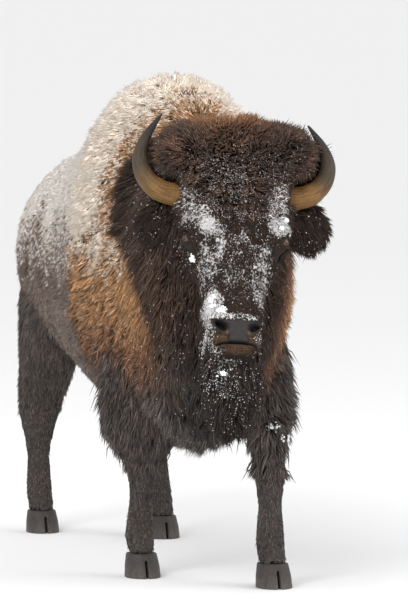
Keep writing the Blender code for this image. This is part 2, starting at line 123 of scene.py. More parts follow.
def pair_distance(local, place):
    """Distance to the nearer of a place on the head and its mirror image."""
    return np.linalg.norm(np.column_stack([np.abs(local[:, 0]), local[:, 1:]]) - np.array(place), axis=1)


# The flesh nodes and how the coat lies on each: depth is how far the skin lies inside the solid. Angles are in
# degrees; lift is from the skin, at the root and at the tip, and curl is the turn along a tuft.
#   nodes              depth  length  width   lift      curl  clump  lie of the coat, on the left
COAT_KINDS = {
    "head":             (.007, .020, .0044, (38, 10), 14, .50, (0.0, 0.10, -1.0)),
    "crown":            (.036, .056, .0062, (68, 40), 120, .35, (0.0, -0.15, -0.60)),
    "beard":            (.028, .080, .0070, (30, 4), 14, .65, (0.0, 0.12, -1.0)),
    "ear_{}":           (.016, .046, .0050, (34, 8), 18, .60, (0.30, 0.05, -0.90)),
    "neck":             (.040, .078, .0070, (45, 10), 24, .60, (0.0, 0.34, -1.0)),
    "chest":            (.032, .052, .0062, (50, 16), 40, .60, (0.0, 0.55, -0.84)),
    "barrel":           (.016, .034, .0052, (36, 8), 16, .58, (0.0, 0.85, -0.52)),
    "hindquarters":     (.016, .034, .0052, (36, 8), 16, .58, (0.0, 0.60, -0.80)),
    "tail":             (.006, .050, .0060, (25, 2), 10, .60, (0.0, 0.15, -1.0)),
    "foreleg_{}_upper": (.040, .085, .0075, (42, 4), 20, .60, (0.0, 0.16, -1.0)),
    "foreleg_{}_lower": (.008, .018, .0048, (28, 5), 8, .35, (0.0, 0.10, -1.0)),
    "hindleg_{}_upper": (.014, .036, .0056, (34, 5), 12, .65, (0.0, 0.25, -1.0)),
    "hindleg_{}_lower": (.008, .018, .0048, (28, 5), 8, .35, (0.0, 0.10, -1.0)),
}
DEPTH, LENGTH, WIDTH, LIFT, CURL, CLUMP, LIE = range(7)
COAT_STYLES = {
    kind.format(side_name): (*style[:LIE], (style[LIE][0] * side, *style[LIE][1:]))
    for kind, style in COAT_KINDS.items()
    for side_name, side in SIDES.items()
}
FLESH = tuple(COAT_STYLES)
COLUMN = {name: i for i, name in enumerate(FLESH)}

# The coat's pieces: the nodes whose skin they grow on, the side of the body (0 is both), how many tufts, and how
# many rings each tuft has below its tip.
COAT_PIECES = {
    "coat_crown":      (("crown",), 0, 18600, 2),
    "coat_face":       (("head", "ear_left", "ear_right"), 0, 46000, 1),
    "coat_mane":       (("neck", "beard"), 0, 18600, 2),
    "coat_cape_right": (("chest",), -1, 46000, 1),
    "coat_cape_left":  (("chest",), 1, 46000, 1),
    "coat_flank":      (("barrel",), 0, 46000, 1),
    "coat_rump":       (("hindquarters", "tail", "hindleg_left_upper", "hindleg_right_upper"), 0, 46000, 1),
    "coat_legs":       (("foreleg_left_upper", "foreleg_right_upper", "foreleg_left_lower", "foreleg_right_lower",
                         "hindleg_left_lower", "hindleg_right_lower"), 0, 18600, 2),
}
QUICK_COAT, QUICK_WIDTH, QUICK_SNOW = 0.5, 1.3, 0.3
WISP_SHARE = 0.04  # the share of tufts that stand out from the locks
CAPE_LOCKS, LONG_LOCKS, SHORT_LOCKS = 0.022, 0.09, 0.12  # how many locks there are to a tuft
GROUND_GAP = 0.002  # no hair comes closer to the ground
SNOWY_PIECES = ("coat_face", "coat_crown", "coat_mane")
FINE_HAIRED = ("coat_face", "coat_crown")


# ---- Settings a user may change ----
def colour(name, default, description):
    return bpy.props.FloatVectorProperty(
        name=name, description=description, default=default, min=0, max=1, size=3, subtype="COLOR"
    )


def share(name, default, description, high=1.0):
    return bpy.props.FloatProperty(name=name, description=description, default=default, min=0, max=high)


def length(name, default, description):
    return bpy.props.FloatProperty(name=name, description=description, default=default, min=0, unit="LENGTH")


class BisonSkin(bpy.types.PropertyGroup):
    voxel: length("Skin grid", 0.0145, "Size of the cells that the skin is drawn from")
    swell: length("Overlap", 0.003, "How far the solids are swollen so that they grow together")
    colour_bare: colour("Bare skin", (0.020, 0.016, 0.014), "Skin round the eyes")
    colour_nose: colour("Nose pad", (0.024, 0.022, 0.022), "Bare slate skin between the nostrils")
    colour_tan: colour("Brown skin", (0.100, 0.060, 0.035), "Skin below the nostrils and on the lower lip")
    colour_rim: colour("Eyelid rim", (0.24, 0.085, 0.035), "Moist edge of the eyelids")


class BisonCoat(bpy.types.PropertyGroup):
    colour_dark: colour("Crown brown", (0.068, 0.045, 0.035), "Crown, face, mane and beard")
    colour_gold: colour("Cape gold", (0.400, 0.222, 0.105), "Wool of the cape")
    colour_rust: colour("Rust", (0.205, 0.102, 0.058), "Lower cape and the strands of the neck")
    colour_slate: colour("Slate", (0.125, 0.110, 0.102), "Throat and chaps")
    colour_flank: colour("Flank brown", (0.250, 0.194, 0.163), "Short coat of the trunk's rear")
    colour_snow: colour("Snow dust", (1.0, 0.975, 0.955), "Snow held in the tips of the coat")
    colour_cream: colour("Dusted wool", (0.96, 0.84, 0.71), "Snow held in the golden wool")
    # Painted shade at the root: how bright a tuft's root is painted next to its tip.
    root_shade: share("Root shade", 0.34, "Brightness of a tuft's root next to its tip")
    tuft_variety: share("Variety", 0.42, "How far one tuft's brightness is from the next")
    length_scale: share("Length", 1.0, "Scales every tuft's length", 2.0)
    density: share("Density", 1.0, "Share of the tufts that are built")


class BisonHorn(bpy.types.PropertyGroup):
    radius: length("Base radius", 0.043, "Radius of a horn where it leaves the crown")
    colour_base: colour("Base", (0.200, 0.106, 0.034), "Horn near the crown")
    colour_middle: colour("Middle", (0.064, 0.047, 0.030), "Horn at its outer bend")
    colour_tip: colour("Tip", (0.022, 0.020, 0.020), "Horn tip")


class BisonHoof(bpy.types.PropertyGroup):
    colour_hoof: colour("Hoof", (0.045, 0.038, 0.034), "Horn of the hooves and dewclaws")


class BisonEye(bpy.types.PropertyGroup):
    colour_iris: colour("Iris", (0.016, 0.008, 0.005), "Iris")
    colour_white: colour("Corner", (0.240, 0.085, 0.035), "Rust brown corner of the eye")


class BisonSnow(bpy.types.PropertyGroup):
    grain: length("Grain", 0.0018, "Radius of a snow grain caught in the coat")
    grains: bpy.props.IntProperty(name="Grains", description="Number of grains in all", default=33000, min=0)
    lump: length("Lump", 0.0060, "Radius of the largest lumps in a snow clump")
    colour_snow: colour("Snow", (0.86, 0.86, 0.87), "Grains and clumps")


class BisonStage(bpy.types.PropertyGroup):
    colour_floor: colour("Floor", (0.84, 0.84, 0.845), "Plain floor")
    sky: share("Sky light", 1.03, "Brightness of the light from all round", 4.0)
    key: bpy.props.FloatProperty(
        name="Key light", description="Power of the large softbox", default=640, min=0, unit="POWER"
    )


SETTINGS = {"bison_skin": BisonSkin, "bison_coat": BisonCoat, "bison_horn": BisonHorn, "bison_hoof": BisonHoof,
            "bison_eye": BisonEye, "bison_snow": BisonSnow, "bison_stage": BisonStage}


# ---- Small numeric helpers ----
def ease(low, high, value):
    """0 below low and 1 above high, with a smooth change between them. low may be the larger one."""
    t = np.clip((value - low) / (high - low), 0, 1)
    return t * t * (3 - 2 * t)


def mix(a, b, factor):
    return a + (b - a) * factor


def unit(vectors):
    return vectors / np.maximum(np.linalg.norm(vectors, axis=-1, keepdims=True), 1e-9)


def bell(offset, width, power=2):
    """1 where the offset is 0, falling to 0 on both sides over about the width."""
    return np.exp(-((offset / width) ** power))


def most(*layers):
    """The largest of several layers at each point."""
    return np.maximum.reduce(layers)


def columns(*values):
    """Values side by side, one row for each point. A single number serves every point."""
    return np.stack(np.broadcast_arrays(*values), axis=1)


def curve(table, value):
    """A table's second column where its first has this value, straight between the rows."""
    return np.interp(value, *zip(*table))


def drift(points, size, seed):
    """Smooth noise from -1 to 1 at each point, with features of about that size."""
    scaled = points / size + seed * 17.31
    cell = np.floor(scaled).astype(np.int64)
    inside = scaled - cell
    inside = inside * inside * (3 - 2 * inside)
    total = np.zeros(len(points))
    for corner in itertools.product((0, 1), repeat=3):
        weight = np.prod(np.where(corner, inside, 1 - inside), axis=1)
        at = cell + np.array(corner)
        mixed = at[:, 0] * 374761393 + at[:, 1] * 668265263 + at[:, 2] * 1440662683 + seed * 974634777
        mixed = (mixed ^ (mixed >> 13)) * 1274126177
        total += weight * (((mixed ^ (mixed >> 16)) & 0xFFFF) / 32767.5 - 1)
    return total


def gusts(points, size, seed):
    """A smoothly changing offset at each point."""
    return columns(*(drift(points, size, seed + i) for i in range(3)))


def blob(points, centre, radii, soft=0.35):
    """1 inside an ellipsoid, falling to 0 over its outer share."""
    distance = np.linalg.norm((points - np.array(centre)) / np.array(radii), axis=1)
    return 1 - ease(1 - soft, 1 + soft, distance)


def fetch(items, key, width=1, kind=np.float32):
    """One number, or a row of them, from each of a mesh's vertices, edges, faces or corners."""
    flat = np.empty(len(items) * width, kind)
    items.foreach_get(key, flat)
    return flat.reshape(-1, width) if width > 1 else flat


def vertex_array(mesh):
    return fetch(mesh.vertices, "co", 3).astype(float)


def normal_array(mesh):
    return fetch(mesh.vertices, "normal", 3).astype(float)


def face_means(mesh, values):
    """The mean over each face's corners of what the vertices hold."""
    starts = fetch(mesh.polygons, "loop_start", kind=np.int32)
    corners = fetch(mesh.loops, "vertex_index", kind=np.int32)
    sizes = np.diff(np.append(starts, len(corners)))
    return (np.add.reduceat(values[corners], starts, axis=0).T / sizes).T


def move_vertices(mesh, points):
    mesh.vertices.foreach_set("co", points.astype(np.float32).ravel())
    mesh.update()


def neighbour_table(mesh, most_kept=8):
    """Each vertex's neighbours as a fixed-width table, filled up with the vertex itself."""
    count = len(mesh.vertices)
    edges = fetch(mesh.edges, "vertices", 2, np.int32)
    both = np.vstack([edges, edges[:, ::-1]])
    both = both[np.argsort(both[:, 0], kind="stable")]
    starts = np.searchsorted(both[:, 0], np.arange(count))
    place = np.arange(len(both)) - starts[both[:, 0]]
    table = np.repeat(np.arange(count)[:, None], most_kept, axis=1)
    kept = place < most_kept
    table[both[kept, 0], place[kept]] = both[kept, 1]
    return table


def relax(values, table, rounds, pull=0.5):
    """Averages values over neighbours, several times. pull may be a number or one number for each vertex."""
    for _ in range(rounds):
        values = values + (values[table].mean(axis=1) - values) * pull
    return values


def attribute(mesh, name, values, kind="FLOAT"):
    made = mesh.attributes.new(name, kind, "POINT")
    key = "color" if kind == "FLOAT_COLOR" else "value"
    made.data.foreach_set(key, np.asarray(values, np.float32).ravel())


def read_attribute(mesh, name):
    return fetch(mesh.attributes[name].data, "value").astype(float)


def flesh_shares(mesh):
    """How much each vertex belongs to each flesh node, one column for each node."""
    return np.stack([read_attribute(mesh, "of_" + name) for name in FLESH], axis=1)


def on(weights, *names):
    """How much each point belongs to these flesh nodes together."""
    return weights[:, [COLUMN[name] for name in names]].sum(axis=1)


def by_node(weights):
    return {name: weights[:, i] for name, i in COLUMN.items()}


def new_object(name, mesh):
    made = bpy.data.objects.new(name, mesh)
    bpy.context.scene.collection.objects.link(made)
    return made


def evaluated_mesh(obj):
    """A plain mesh of the object with its modifiers applied."""
    graph = bpy.context.evaluated_depsgraph_get()
    return bpy.data.meshes.new_from_object(obj.evaluated_get(graph), preserve_all_data_layers=True, depsgraph=graph)


def remove(obj):
    mesh = obj.data
    bpy.data.objects.remove(obj)
    bpy.data.meshes.remove(mesh)


def mesh_from(work, name, rounded=False):
    """A mesh of finished bmesh work, which is freed. A rounded one is closed and shaded smooth."""
    if rounded:
        bmesh.ops.recalc_face_normals(work, faces=work.faces)
        for face in work.faces:
            face.smooth = True
    mesh = bpy.data.meshes.new(name)
    work.to_mesh(mesh)
    work.free()
    return mesh


def shade_smooth(mesh):
    mesh.polygons.foreach_set("use_smooth", [True] * len(mesh.polygons))


def join_rings(work, rings):
    """Smooth faces between each ring of vertices and the next."""
    for low, high in zip(rings, rings[1:]):
        for j in range(len(low)):
            work.faces.new((low[j - 1], low[j], high[j], high[j - 1])).smooth = True


def surface_tree(mesh):
    return BVHTree.FromPolygons([v.co for v in mesh.vertices], [tuple(p.vertices) for p in mesh.polygons])


# ---- Markings: one rule for skin and coat ----
# How far back the cape and the dark mane reach at each height.
CAPE_EDGE = ((0.75, -0.24), (0.85, -0.15), (0.97, -0.08), (1.15, -0.04), (1.33, 0.02), (1.50, 0.05))
MANE_EDGE = ((0.79, -0.86), (0.95, -0.95), (1.06, -0.96), (1.14, -0.92), (1.19, -0.84), (1.22, -0.70), (1.25, -0.60),
             (1.30, -0.52), (1.40, -0.47), (1.46, -0.47), (1.51, -0.51), (1.56, -0.56), (1.62, -0.68))

# Where snow is caught on the head: centre and radii in the head's frame, and how much of it.
FACE_SNOW = (
    ((-0.126, -0.02, 0.088), (0.056, 0.09, 0.032), 0.52),
    ((-0.092, -0.03, 0.050), (0.036, 0.08, 0.034), 0.86),
    ((-0.054, -0.02, -0.012), (0.019, 0.08, 0.066), 0.56),
    ((-0.140, 0.02, 0.140), (0.032, 0.09, 0.034), 0.34),
    ((0.128, -0.01, 0.125), (0.038, 0.09, 0.075), 0.48),
    ((0.140, 0.00, 0.060), (0.034, 0.09, 0.034), 0.92),
    ((0.000, -0.01, 0.160), (0.170, 0.09, 0.110), 0.20),
    ((0.010, -0.01, -0.070), (0.135, 0.09, 0.150), 0.13),
    ((-0.185, 0.08, -0.020), (0.040, 0.10, 0.120), 0.14),
    ((0.092, 0.00, -0.120), (0.038, 0.09, 0.110), 0.38),
    ((-0.078, 0.01, -0.225), (0.034, 0.08, 0.055), 1.10),
    ((-0.080, 0.02, -0.290), (0.024, 0.08, 0.070), 0.42),
    ((-0.070, 0.02, -0.395), (0.034, 0.06, 0.022), 0.20),
    ((0.022, -0.02, -0.277), (0.075, 0.05, 0.014), 0.60),
    ((-0.050, -0.02, -0.270), (0.024, 0.05, 0.018), 1.00),
    ((-0.095, 0.02, -0.090), (0.034, 0.09, 0.110), 0.27),
    ((0.085, 0.01, -0.330), (0.020, 0.08, 0.090), 0.14),
    ((-0.020, 0.06, -0.455), (0.075, 0.09, 0.050), 0.22),
)

# How much snow the flanks and the cape hold at each height above the ground.
FLANK_SNOW = ((0.98, 0.03), (1.05, 0.24), (1.14, 0.44), (1.24, 0.74), (1.42, 0.95))
CAPE_SNOW = ((1.02, 0.02), (1.10, 0.22), (1.18, 0.66), (1.27, 0.88), (1.42, 0.98))


def cape_share(points):
    """1 on the forequarters and 0 behind the cape's wandering rear edge."""
    edge = curve(CAPE_EDGE, points[:, 2]) + 0.04 * drift(points, 0.22, 1) + 0.03 * drift(points, 0.07, 2)
    return 1 - ease(edge - 0.07, edge + 0.07, points[:, 1])


def mane_share(points, weights, soft):
    """How much of the chest's coat is dark mane, with an edge this soft in front."""
    return on(weights, "chest") * (1 - ease(-soft, 0.02, points[:, 1] - curve(MANE_EDGE, points[:, 2])))


def whole_head(part):
    return np.clip(part["head"] + part["crown"] + part["beard"], 0, 1)


def markings(points, normals, weights):
    """The share of each coat colour, and the snow, at each point. Colours are gold, rust, slate and flank, in that
    order of painting over the dark brown."""
    x, y, z = points.T
    part = by_node(weights)
    local = to_head(points)
    wander = 0.6 * drift(points, 0.20, 1) + 0.4 * drift(points, 0.06, 2)
    strands = drift(points * (1, 1, 0.22), 0.040, 4)
    trunk = np.clip(part["chest"] + part["barrel"] + part["hindquarters"] + part["neck"], 0, 1)
    fore = cape_share(points)
    height = local[:, 2] + 0.03 * wander

    # The cape: golden wool from the hump down to the elbow, rusty at its lower edge. The dark mane hangs in front
    # of it, and over the mane the gold runs on to the crown.
    lower_edge = 0.95 + 0.07 * wander
    mane_edge = curve(MANE_EDGE, z) + 0.035 * wander
    behind_mane = np.clip(ease(mane_edge - 0.05, mane_edge + 0.05, y) + ease(1.57, 1.66, z + 0.03 * wander), 0, 1)
    cape = trunk * fore * behind_mane
    band = bell(np.abs(x) - 0.33 + (0.92 - z) * 0.48, 0.045) * ease(-0.80, -0.92, y)  # beside the dewlap
    top = part["crown"] * ease(0.30, 0.44, height) * ease(0.16, 0.05, np.abs(local[:, 0] + 0.03))
    lip = part["head"] * blob(local, (NOSE_SHIFT, -0.01, MOUTH_HEIGHT - 0.018), (0.048, 0.05, 0.013))
    wing = part["head"] * blob(local, (NOSE_SHIFT, -0.01, MOUTH_HEIGHT + 0.018), (0.090, 0.05, 0.022))
    gold = most(
        cape * ease(lower_edge - 0.13, lower_edge + 0.12, z) * (0.86 + 0.14 * drift(points, 0.09, 3)),
        0.42 * trunk * (1 - fore) * ease(0.95, 1.30, z + 0.10 * wander),
        0.55 * top * ease(0.38, 0.47, height),
        0.40 * lip,
        0.34 * wing * ease(0.03, 0.045, np.abs(local[:, 0] - NOSE_SHIFT)),
    )
    rust = most(
        cape * ease(0.66, 0.86, z + 0.06 * wander),
        0.85 * trunk * band * ease(0.52, 0.64, z) * ease(1.02, 0.92, z),
        part["neck"] * ease(0.08, 0.20, x) * ease(0.70, 0.84, z) * ease(1.28, 1.12, z),
        0.15 * part["neck"] * ease(0.0, 0.7, strands) * ease(1.40, 1.20, z),
        0.45 * part["crown"] * ease(0.0, 0.8, drift(points, 0.035, 5)),
        0.95 * top,
    )
    slate = most(
        np.clip(0.3 * part["beard"] + 0.45 * part["neck"] * ease(0.95, 0.75, z), 0, 1),
        0.7 * np.clip(sum(part[name] for name in FLESH if "leg" in name), 0, 1),
        trunk * fore * ease(0.92, 0.74, z + 0.06 * wander),
    )
    flank = most(
        np.clip((part["barrel"] + part["hindquarters"] + part["chest"]) * (1 - fore), 0, 1),
        0.7 * (part["hindleg_left_upper"] + part["hindleg_right_upper"]),
    )

    # Snow covers the back, the hump and the upper cape down to mid height. It thins out towards the mane.
    faces_up = ease(0.15, 0.80, normals[:, 2] + 0.12 * wander)
    broken = z + 0.09 * wander + 0.055 * drift(points, 0.085, 6) + 0.030 * drift(points, 0.028, 7)
    behind = mix(curve(FLANK_SNOW, broken), 1.0, faces_up)
    before = mix(curve(CAPE_SNOW, broken), 1.0, faces_up)
    before *= mix(0.36, 1.0, ease(0.05, 0.25, y - mane_edge))
    before *= mix(1.0, mix(0.68, 1.0, ease(-0.48, -0.14, y)), ease(1.46, 1.56, z))
    snow = most(
        trunk * mix(behind, before * behind_mane, fore) * ease(0.55, 0.75, z),
        0.16 * trunk * ease(0.50, 0.90, z) * mix(1.0, behind_mane, fore),
        0.16 * part["crown"] * ease(0.36, 0.46, local[:, 2]) * ease(0.04, 0.14, local[:, 1]),
        0.72 * face_snow(local) * whole_head(part),
        np.full(len(points), 0.07),
    )
    return np.clip(np.stack([gold, rust, slate, flank], axis=1), 0, 1), np.clip(snow, 0, 1)


def tone(points, weights):
    """Brightness of the coat's colours at each point: the throat, beard and muzzle are almost black."""
    local = to_head(points)
    part = by_node(weights)
    front = part["head"] * ease(0.16, 0.06, local[:, 1])
    throat = ease(1.00, 0.86, points[:, 2]) * ease(0.22, 0.10, np.abs(points[:, 0] + 0.05))
    dark = most(
        part["beard"],
        part["head"] * ease(-0.38, -0.42, local[:, 2]),
        (part["neck"] + 0.7 * part["chest"] * ease(-0.70, -0.80, points[:, 1])) * throat,
        0.75 * front * blob(local, (NOSE_SHIFT, 0.0, -0.35), (0.085, 0.08, 0.075)),  # round the nose
    )
    lobes = part["ear_left"] + part["ear_right"] + part["head"] * ease(0.10, 0.20, local[:, 1])
    lobes = lobes + 1.6 * mane_share(points, weights, 0.06) * ease(1.0, 1.2, points[:, 2])
    return (1 - 0.60 * np.clip(dark, 0, 1)) * (1 - 0.26 * np.clip(lobes, 0, 1.6)) * (1 - 0.10 * front)


def frost(points, weights):
    """Where separate snow grains are caught in the coat, from 0 to 1."""
    local = to_head(points)
    part = by_node(weights)
    found = whole_head(part) * (face_snow(local) + 0.015)
    found = found + part["crown"] * 0.02 * ease(0.40, 0.20, local[:, 2]) + part["beard"] * 0.026
    found = found + 0.012 * (part["neck"] + part["chest"]) + 0.055 * (part["ear_left"] + part["ear_right"])
    bunched = 0.5 + 0.4 * (drift(points, 0.022, 31) + drift(points, 0.009, 32))
    return found * ease(0.35, 0.75, bunched + 0.30 * found)


def face_snow(local):
    return most(*(amount * blob(local, centre, radii, 0.45) for centre, radii, amount in FACE_SNOW))


# ---- The skin ----
SINK_SHARE = 0.34  # how far the skin may sink into a thin part, next to the part's thickness
# Balls that fill the sockets of the horns and the eyes: place and radius.
SOCKET_FILLS = ((HORN_ROOT, 0.052), (EYE_PLACE, 0.020))
# Where the skin's grid is split, one step after another: how far round each eye, and the box of the face's front by
# its half width, its back, its foot and its top.
FINER_ZONES = (
    (0.0, 0.22, 0.16, -0.50, 0.20),
    (0.075, 1.0, 0.10, -0.46, -0.27),
    (0.045, 0.10, 0.045, -0.405, -0.275),
)


def flesh_shell(swell):
    """All flesh solids as one loose mesh, each swollen a little, with the sockets of horns and eyes filled."""
    shell = bmesh.new()
    for name in FLESH:
        shell.from_mesh(frame["nodes"][name].data)
    bmesh.ops.remove_doubles(shell, verts=shell.verts, dist=1e-5)
    shell.normal_update()
    for vertex in shell.verts:
        vertex.co += vertex.normal * swell
    for side in (-1, 1):
        for place, radius in SOCKET_FILLS:
            ball = HEAD @ Matrix.Translation(mirrored(place, side))
            bmesh.ops.create_icosphere(shell, subdivisions=3, radius=radius, matrix=ball)
    return mesh_from(shell, "flesh_shell")


def in_zone(local, zone):
    eye_reach, half_width, back, foot, top = zone
    x, y, z = local.T
    boxed = (np.abs(x) < half_width) & (y < back) & (z > foot) & (z < top)
    return boxed | (pair_distance(local, EYE_PLACE) < eye_reach)


def refine(mesh, zone):
    """Splits every edge whose two ends lie in the zone."""
    work = bmesh.new()
    work.from_mesh(mesh)
    inside = in_zone(to_head(np.array([v.co for v in work.verts])), zone)
    edges = [e for e in work.edges if inside[e.verts[0].index] and inside[e.verts[1].index]]
    bmesh.ops.subdivide_edges(work, edges=edges, cuts=1, use_grid_fill=True)
    bmesh.ops.triangulate(work, faces=[f for f in work.faces if len(f.verts) > 4])
    work.to_mesh(mesh)
    work.free()


def node_weights(mesh, table):
    """How much each skin vertex belongs to each flesh node, blended over the seams."""
    points, faces, owners = [], [], []
    for name in FLESH:
        solid = frame["nodes"][name].data
        base = len(points)
        points.extend(v.co.copy() for v in solid.vertices)
        faces.extend([base + i for i in p.vertices] for p in solid.polygons)
        owners.extend([COLUMN[name]] * len(solid.polygons))
    tree = BVHTree.FromPolygons(points, faces)
    weights = np.zeros((len(mesh.vertices), len(FLESH)))
    for i, vertex in enumerate(mesh.vertices):
        weights[i, owners[tree.find_nearest(vertex.co)[2]]] = 1
    weights = relax(weights, table, 12)
    fore = cape_share(vertex_array(mesh))
    rear = ease(0.50, 0.75, vertex_array(mesh)[:, 1])
    trunk = on(weights, "chest", "barrel", "hindquarters")
    weights[:, COLUMN["chest"]] = trunk * fore
    weights[:, COLUMN["barrel"]] = trunk * (1 - fore) * (1 - rear)
    weights[:, COLUMN["hindquarters"]] = trunk * (1 - fore) * rear
    return weights


def temples(local):
    """1 on the crown's sides, where its wool fills the bend of the horns."""
    return ease(0.11, 0.17, np.abs(local[:, 0])) * ease(0.20, 0.25, local[:, 2]) * ease(0.40, 0.33, local[:, 2])


def style(weights, column):
    """One column of the coat's styles, blended over the nodes."""
    return weights @ np.array([row[column] for row in COAT_STYLES.values()])


def coat_depth(points, weights):
    """How far the skin lies inside the solids."""
    local = to_head(points)
    shaggy = ease(0.06, 0.20, local[:, 1]) * ease(-0.30, -0.10, local[:, 2])  # the sides behind the cheeks
    depth = style(weights, DEPTH) + 0.020 * on(weights, "head") * shaggy
    depth = depth - 0.022 * on(weights, "crown") * temples(local)
    return depth * (1 - 0.9 * blob(local, (0, -0.02, -0.36), (0.115, 0.09, 0.075)))


def room_inside(mesh, points, normals, start=0.004, most_room=1.0):
    """Distance through the body behind each vertex."""
    tree = surface_tree(mesh)
    room = np.full(len(points), most_room)
    for i, (point, normal) in enumerate(zip(points, normals)):
        inward = Vector(-normal)
        hit = tree.ray_cast(Vector(point) + inward * start, inward, most_room)
        if hit[0] is not None:
            room[i] = hit[3] + start
    return room


# Folds round an eye: the middle and half width of each up the face, then along the slit, and its height.
EYE_FOLDS = (
    (0.038, 0.012, 0.0, 0.045, 0.011),  # the brow
    (-0.026, 0.005, 0.004, 0.030, 0.004),
    (-0.038, 0.006, 0.006, 0.034, 0.004),
    (-0.012, 0.005, 0.036, 0.018, -0.005),  # the hollow towards the nose
)
EYE_SLIT, EYE_RISE, EYE_FALL = 0.0205, 0.0132, 0.0100  # the opening's half length, and its height above and below
LID = 0.0026  # how far the lids stand off the ball


def eye_axes(side):
    """An eye's own axes in the head's frame: outward, along the slit towards the nose, and up."""
    outward = Vector((side * 0.86, -0.50, 0.06)).normalized()
    along = Vector((-side * 0.42, -0.62, -0.46))
    along = (along - outward * along.dot(outward)).normalized()
    return np.array(outward), np.array(along), np.array(outward.cross(along) * -side)


def sculpt_eyes(local):
    """Sinks the eyes under a brow, with two lids that lie on the eyeball round an almond opening. Returns the moved
    points, and the shares of the bare skin and of the red rim."""
    moved = local.copy()
    bare = rim = np.zeros(len(local))
    for side in (-1, 1):
        outward, along, up = eye_axes(side)
        offset = moved - np.array(mirrored(EYE_PLACE, side))
        height, u, v = offset @ outward, offset @ along, offset @ up
        near = (np.hypot(u, v) < 0.085) & (height > -0.03)
        # How much each point must grow to reach the edge of the opening, which is arched more above than below.
        wide = (u / EYE_SLIT) ** 2
        tall = np.abs(v) / np.where(v > 0, EYE_RISE, EYE_FALL)
        growth = 2 / np.maximum(tall + np.sqrt(tall * tall + 4 * wide), 1e-4)
        gap = (1 - growth) * np.hypot(u, v)
        snapped = near & (np.abs(gap) < 0.0011)
        moved = moved + np.where(snapped, growth - 1, 0)[:, None] * (u[:, None] * along + v[:, None] * up)
        gap = np.where(snapped, 0, gap)
        # The lids follow the ball, which stands proud of the head, and die away into the cheek.
        reach = np.hypot(u / 1.25, v)
        ball = np.sqrt(np.maximum((EYE_RADIUS + LID) ** 2 - u * u - v * v, 0))
        edge = 0.0020 * bell(gap - 0.0015, 0.0022) - 0.0013 * bell(gap - 0.0065, 0.0016)
        wanted = mix(height - 0.004 * bell(reach - 0.036, 0.010), ball + edge, 1 - ease(0.020, 0.046, reach))
        wanted = np.where(gap < 0, EYE_RADIUS * 0.45, wanted)
        for v_middle, v_wide, u_middle, u_wide, fold in EYE_FOLDS:
            wanted = wanted + fold * bell(v - v_middle, v_wide) * bell(u - u_middle, u_wide)
        moved = moved + np.where(near, wanted - height, 0)[:, None] * outward
        # Bare skin lies close round the lids and down the tear line.
        down, over = 0.55 * u - 0.83 * v, 0.83 * u + 0.55 * v
        tear = bell(down - 0.020, 0.040, 4) * bell(over - 0.004, 0.022, 4)
        bare = most(bare, np.where(near, most(tear, bell(reach, 0.0245, 6)), 0))
        corner = ease(0.006, 0.014, u + 0.25 * v)
        rim = most(rim, np.where(near & (gap < 0.004), (1 - ease(0.0004, 0.0020, gap)) * corner, 0))
    return moved, bare, rim


NOSTRIL_SIDE, NOSTRIL_SLANT = 0.057, (0.78, 0.63)  # off the nose's middle, and cosine and sine of the slant
PAD_WIDTH, PAD_SPREAD = 0.031, 0.040  # the pad's half width between the nostrils, and how much it gains at its top


def sculpt_muzzle(local):
    """Cuts the nostrils with their wings, the slate pad between them and the mouth. Returns the moved points and the
    shares of the pad, of the dark bare skin round it, of the painted shade inside the nostrils and along the mouth
    line, and of the brown skin."""
    moved = local.copy()
    x, y, z = local.T
    x = x - NOSE_SHIFT
    side = np.abs(x)
    front = (y < 0.09) & (z < -0.25) & (z > -0.47)
    # Nostrils: commas that run from their upper outer end down to an inner corner, with a wing below.
    cosine, sine = NOSTRIL_SLANT
    u = (side - NOSTRIL_SIDE) * cosine + (z - NOSTRIL_HEIGHT) * sine
    v = -(side - NOSTRIL_SIDE) * sine + (z - NOSTRIL_HEIGHT) * cosine
    hole = np.hypot(u / 0.027, v / mix(0.0155, 0.0115, ease(-0.02, 0.02, u)))
    depth = 0.034 * (1 - ease(0.42, 1.06, hole))
    wing = 0.0085 * bell(hole - 1.42, 0.34) * mix(1.0, 0.45, ease(-0.012, 0.010, v))
    # The pad: narrow between the nostrils, spread out along its top, with a groove down its middle.
    half = PAD_WIDTH + PAD_SPREAD * ease(NOSE_PAD_TOP - 0.022, NOSE_PAD_TOP - 0.006, z)
    upper = NOSE_PAD_TOP - 0.8 * side * side
    pad = (1 - ease(half - 0.005, half + 0.004, side)) * ease(MOUTH_HEIGHT - 0.001, MOUTH_HEIGHT + 0.003, z)
    pad = pad * ease(upper + 0.003, upper - 0.005, z) * ease(0.9, 1.2, hole)
    raised = 0.0030 * pad - 0.0020 * bell(x, 0.0028) * pad
    # The mouth: a line with a full lip above and below, turned down at its corners, and a chin set back.
    below = z - (MOUTH_HEIGHT - 1.4 * np.maximum(side - 0.045, 0) ** 1.5)
    wide = 1 - ease(0.072, 0.095, side)
    lips = 0.0050 * bell(below - 0.012, 0.009) + 0.0075 * bell(below + 0.015, 0.009)
    mouth = (0.014 * bell(below, 0.0038) - lips + 0.006 * ease(-0.024, -0.036, below)) * wide
    moved[:, 1] += np.where(front, depth - wing - raised + mouth, 0)

    # Painted shade: the insides of the nostrils and the mouth line are painted near black.
    painted_hollow_shade = most(1 - ease(0.50, 0.98, hole), bell(below, 0.0026) * wide)
    skin = most(1 - ease(1.3, 1.8, hole), (1 - ease(0.055, 0.075, side)) * bell(below - 0.004, 0.010))
    # Brown skin below the nostrils, palest at their inner corners, and on the lower lip.
    tan = most(
        0.60 * ease(0.030, 0.042, side) * ease(0.092, 0.070, side) * bell(below - 0.017, 0.016, 4),
        bell(side - 0.037, 0.0055) * bell(below - 0.034, 0.012),
        0.70 * ease(0.062, 0.045, side) * bell(below + 0.018, 0.013, 4),
    )
    return moved, *(np.where(front, layer, 0) for layer in (pad, skin, painted_hollow_shade, tan * (1 - 0.8 * pad)))


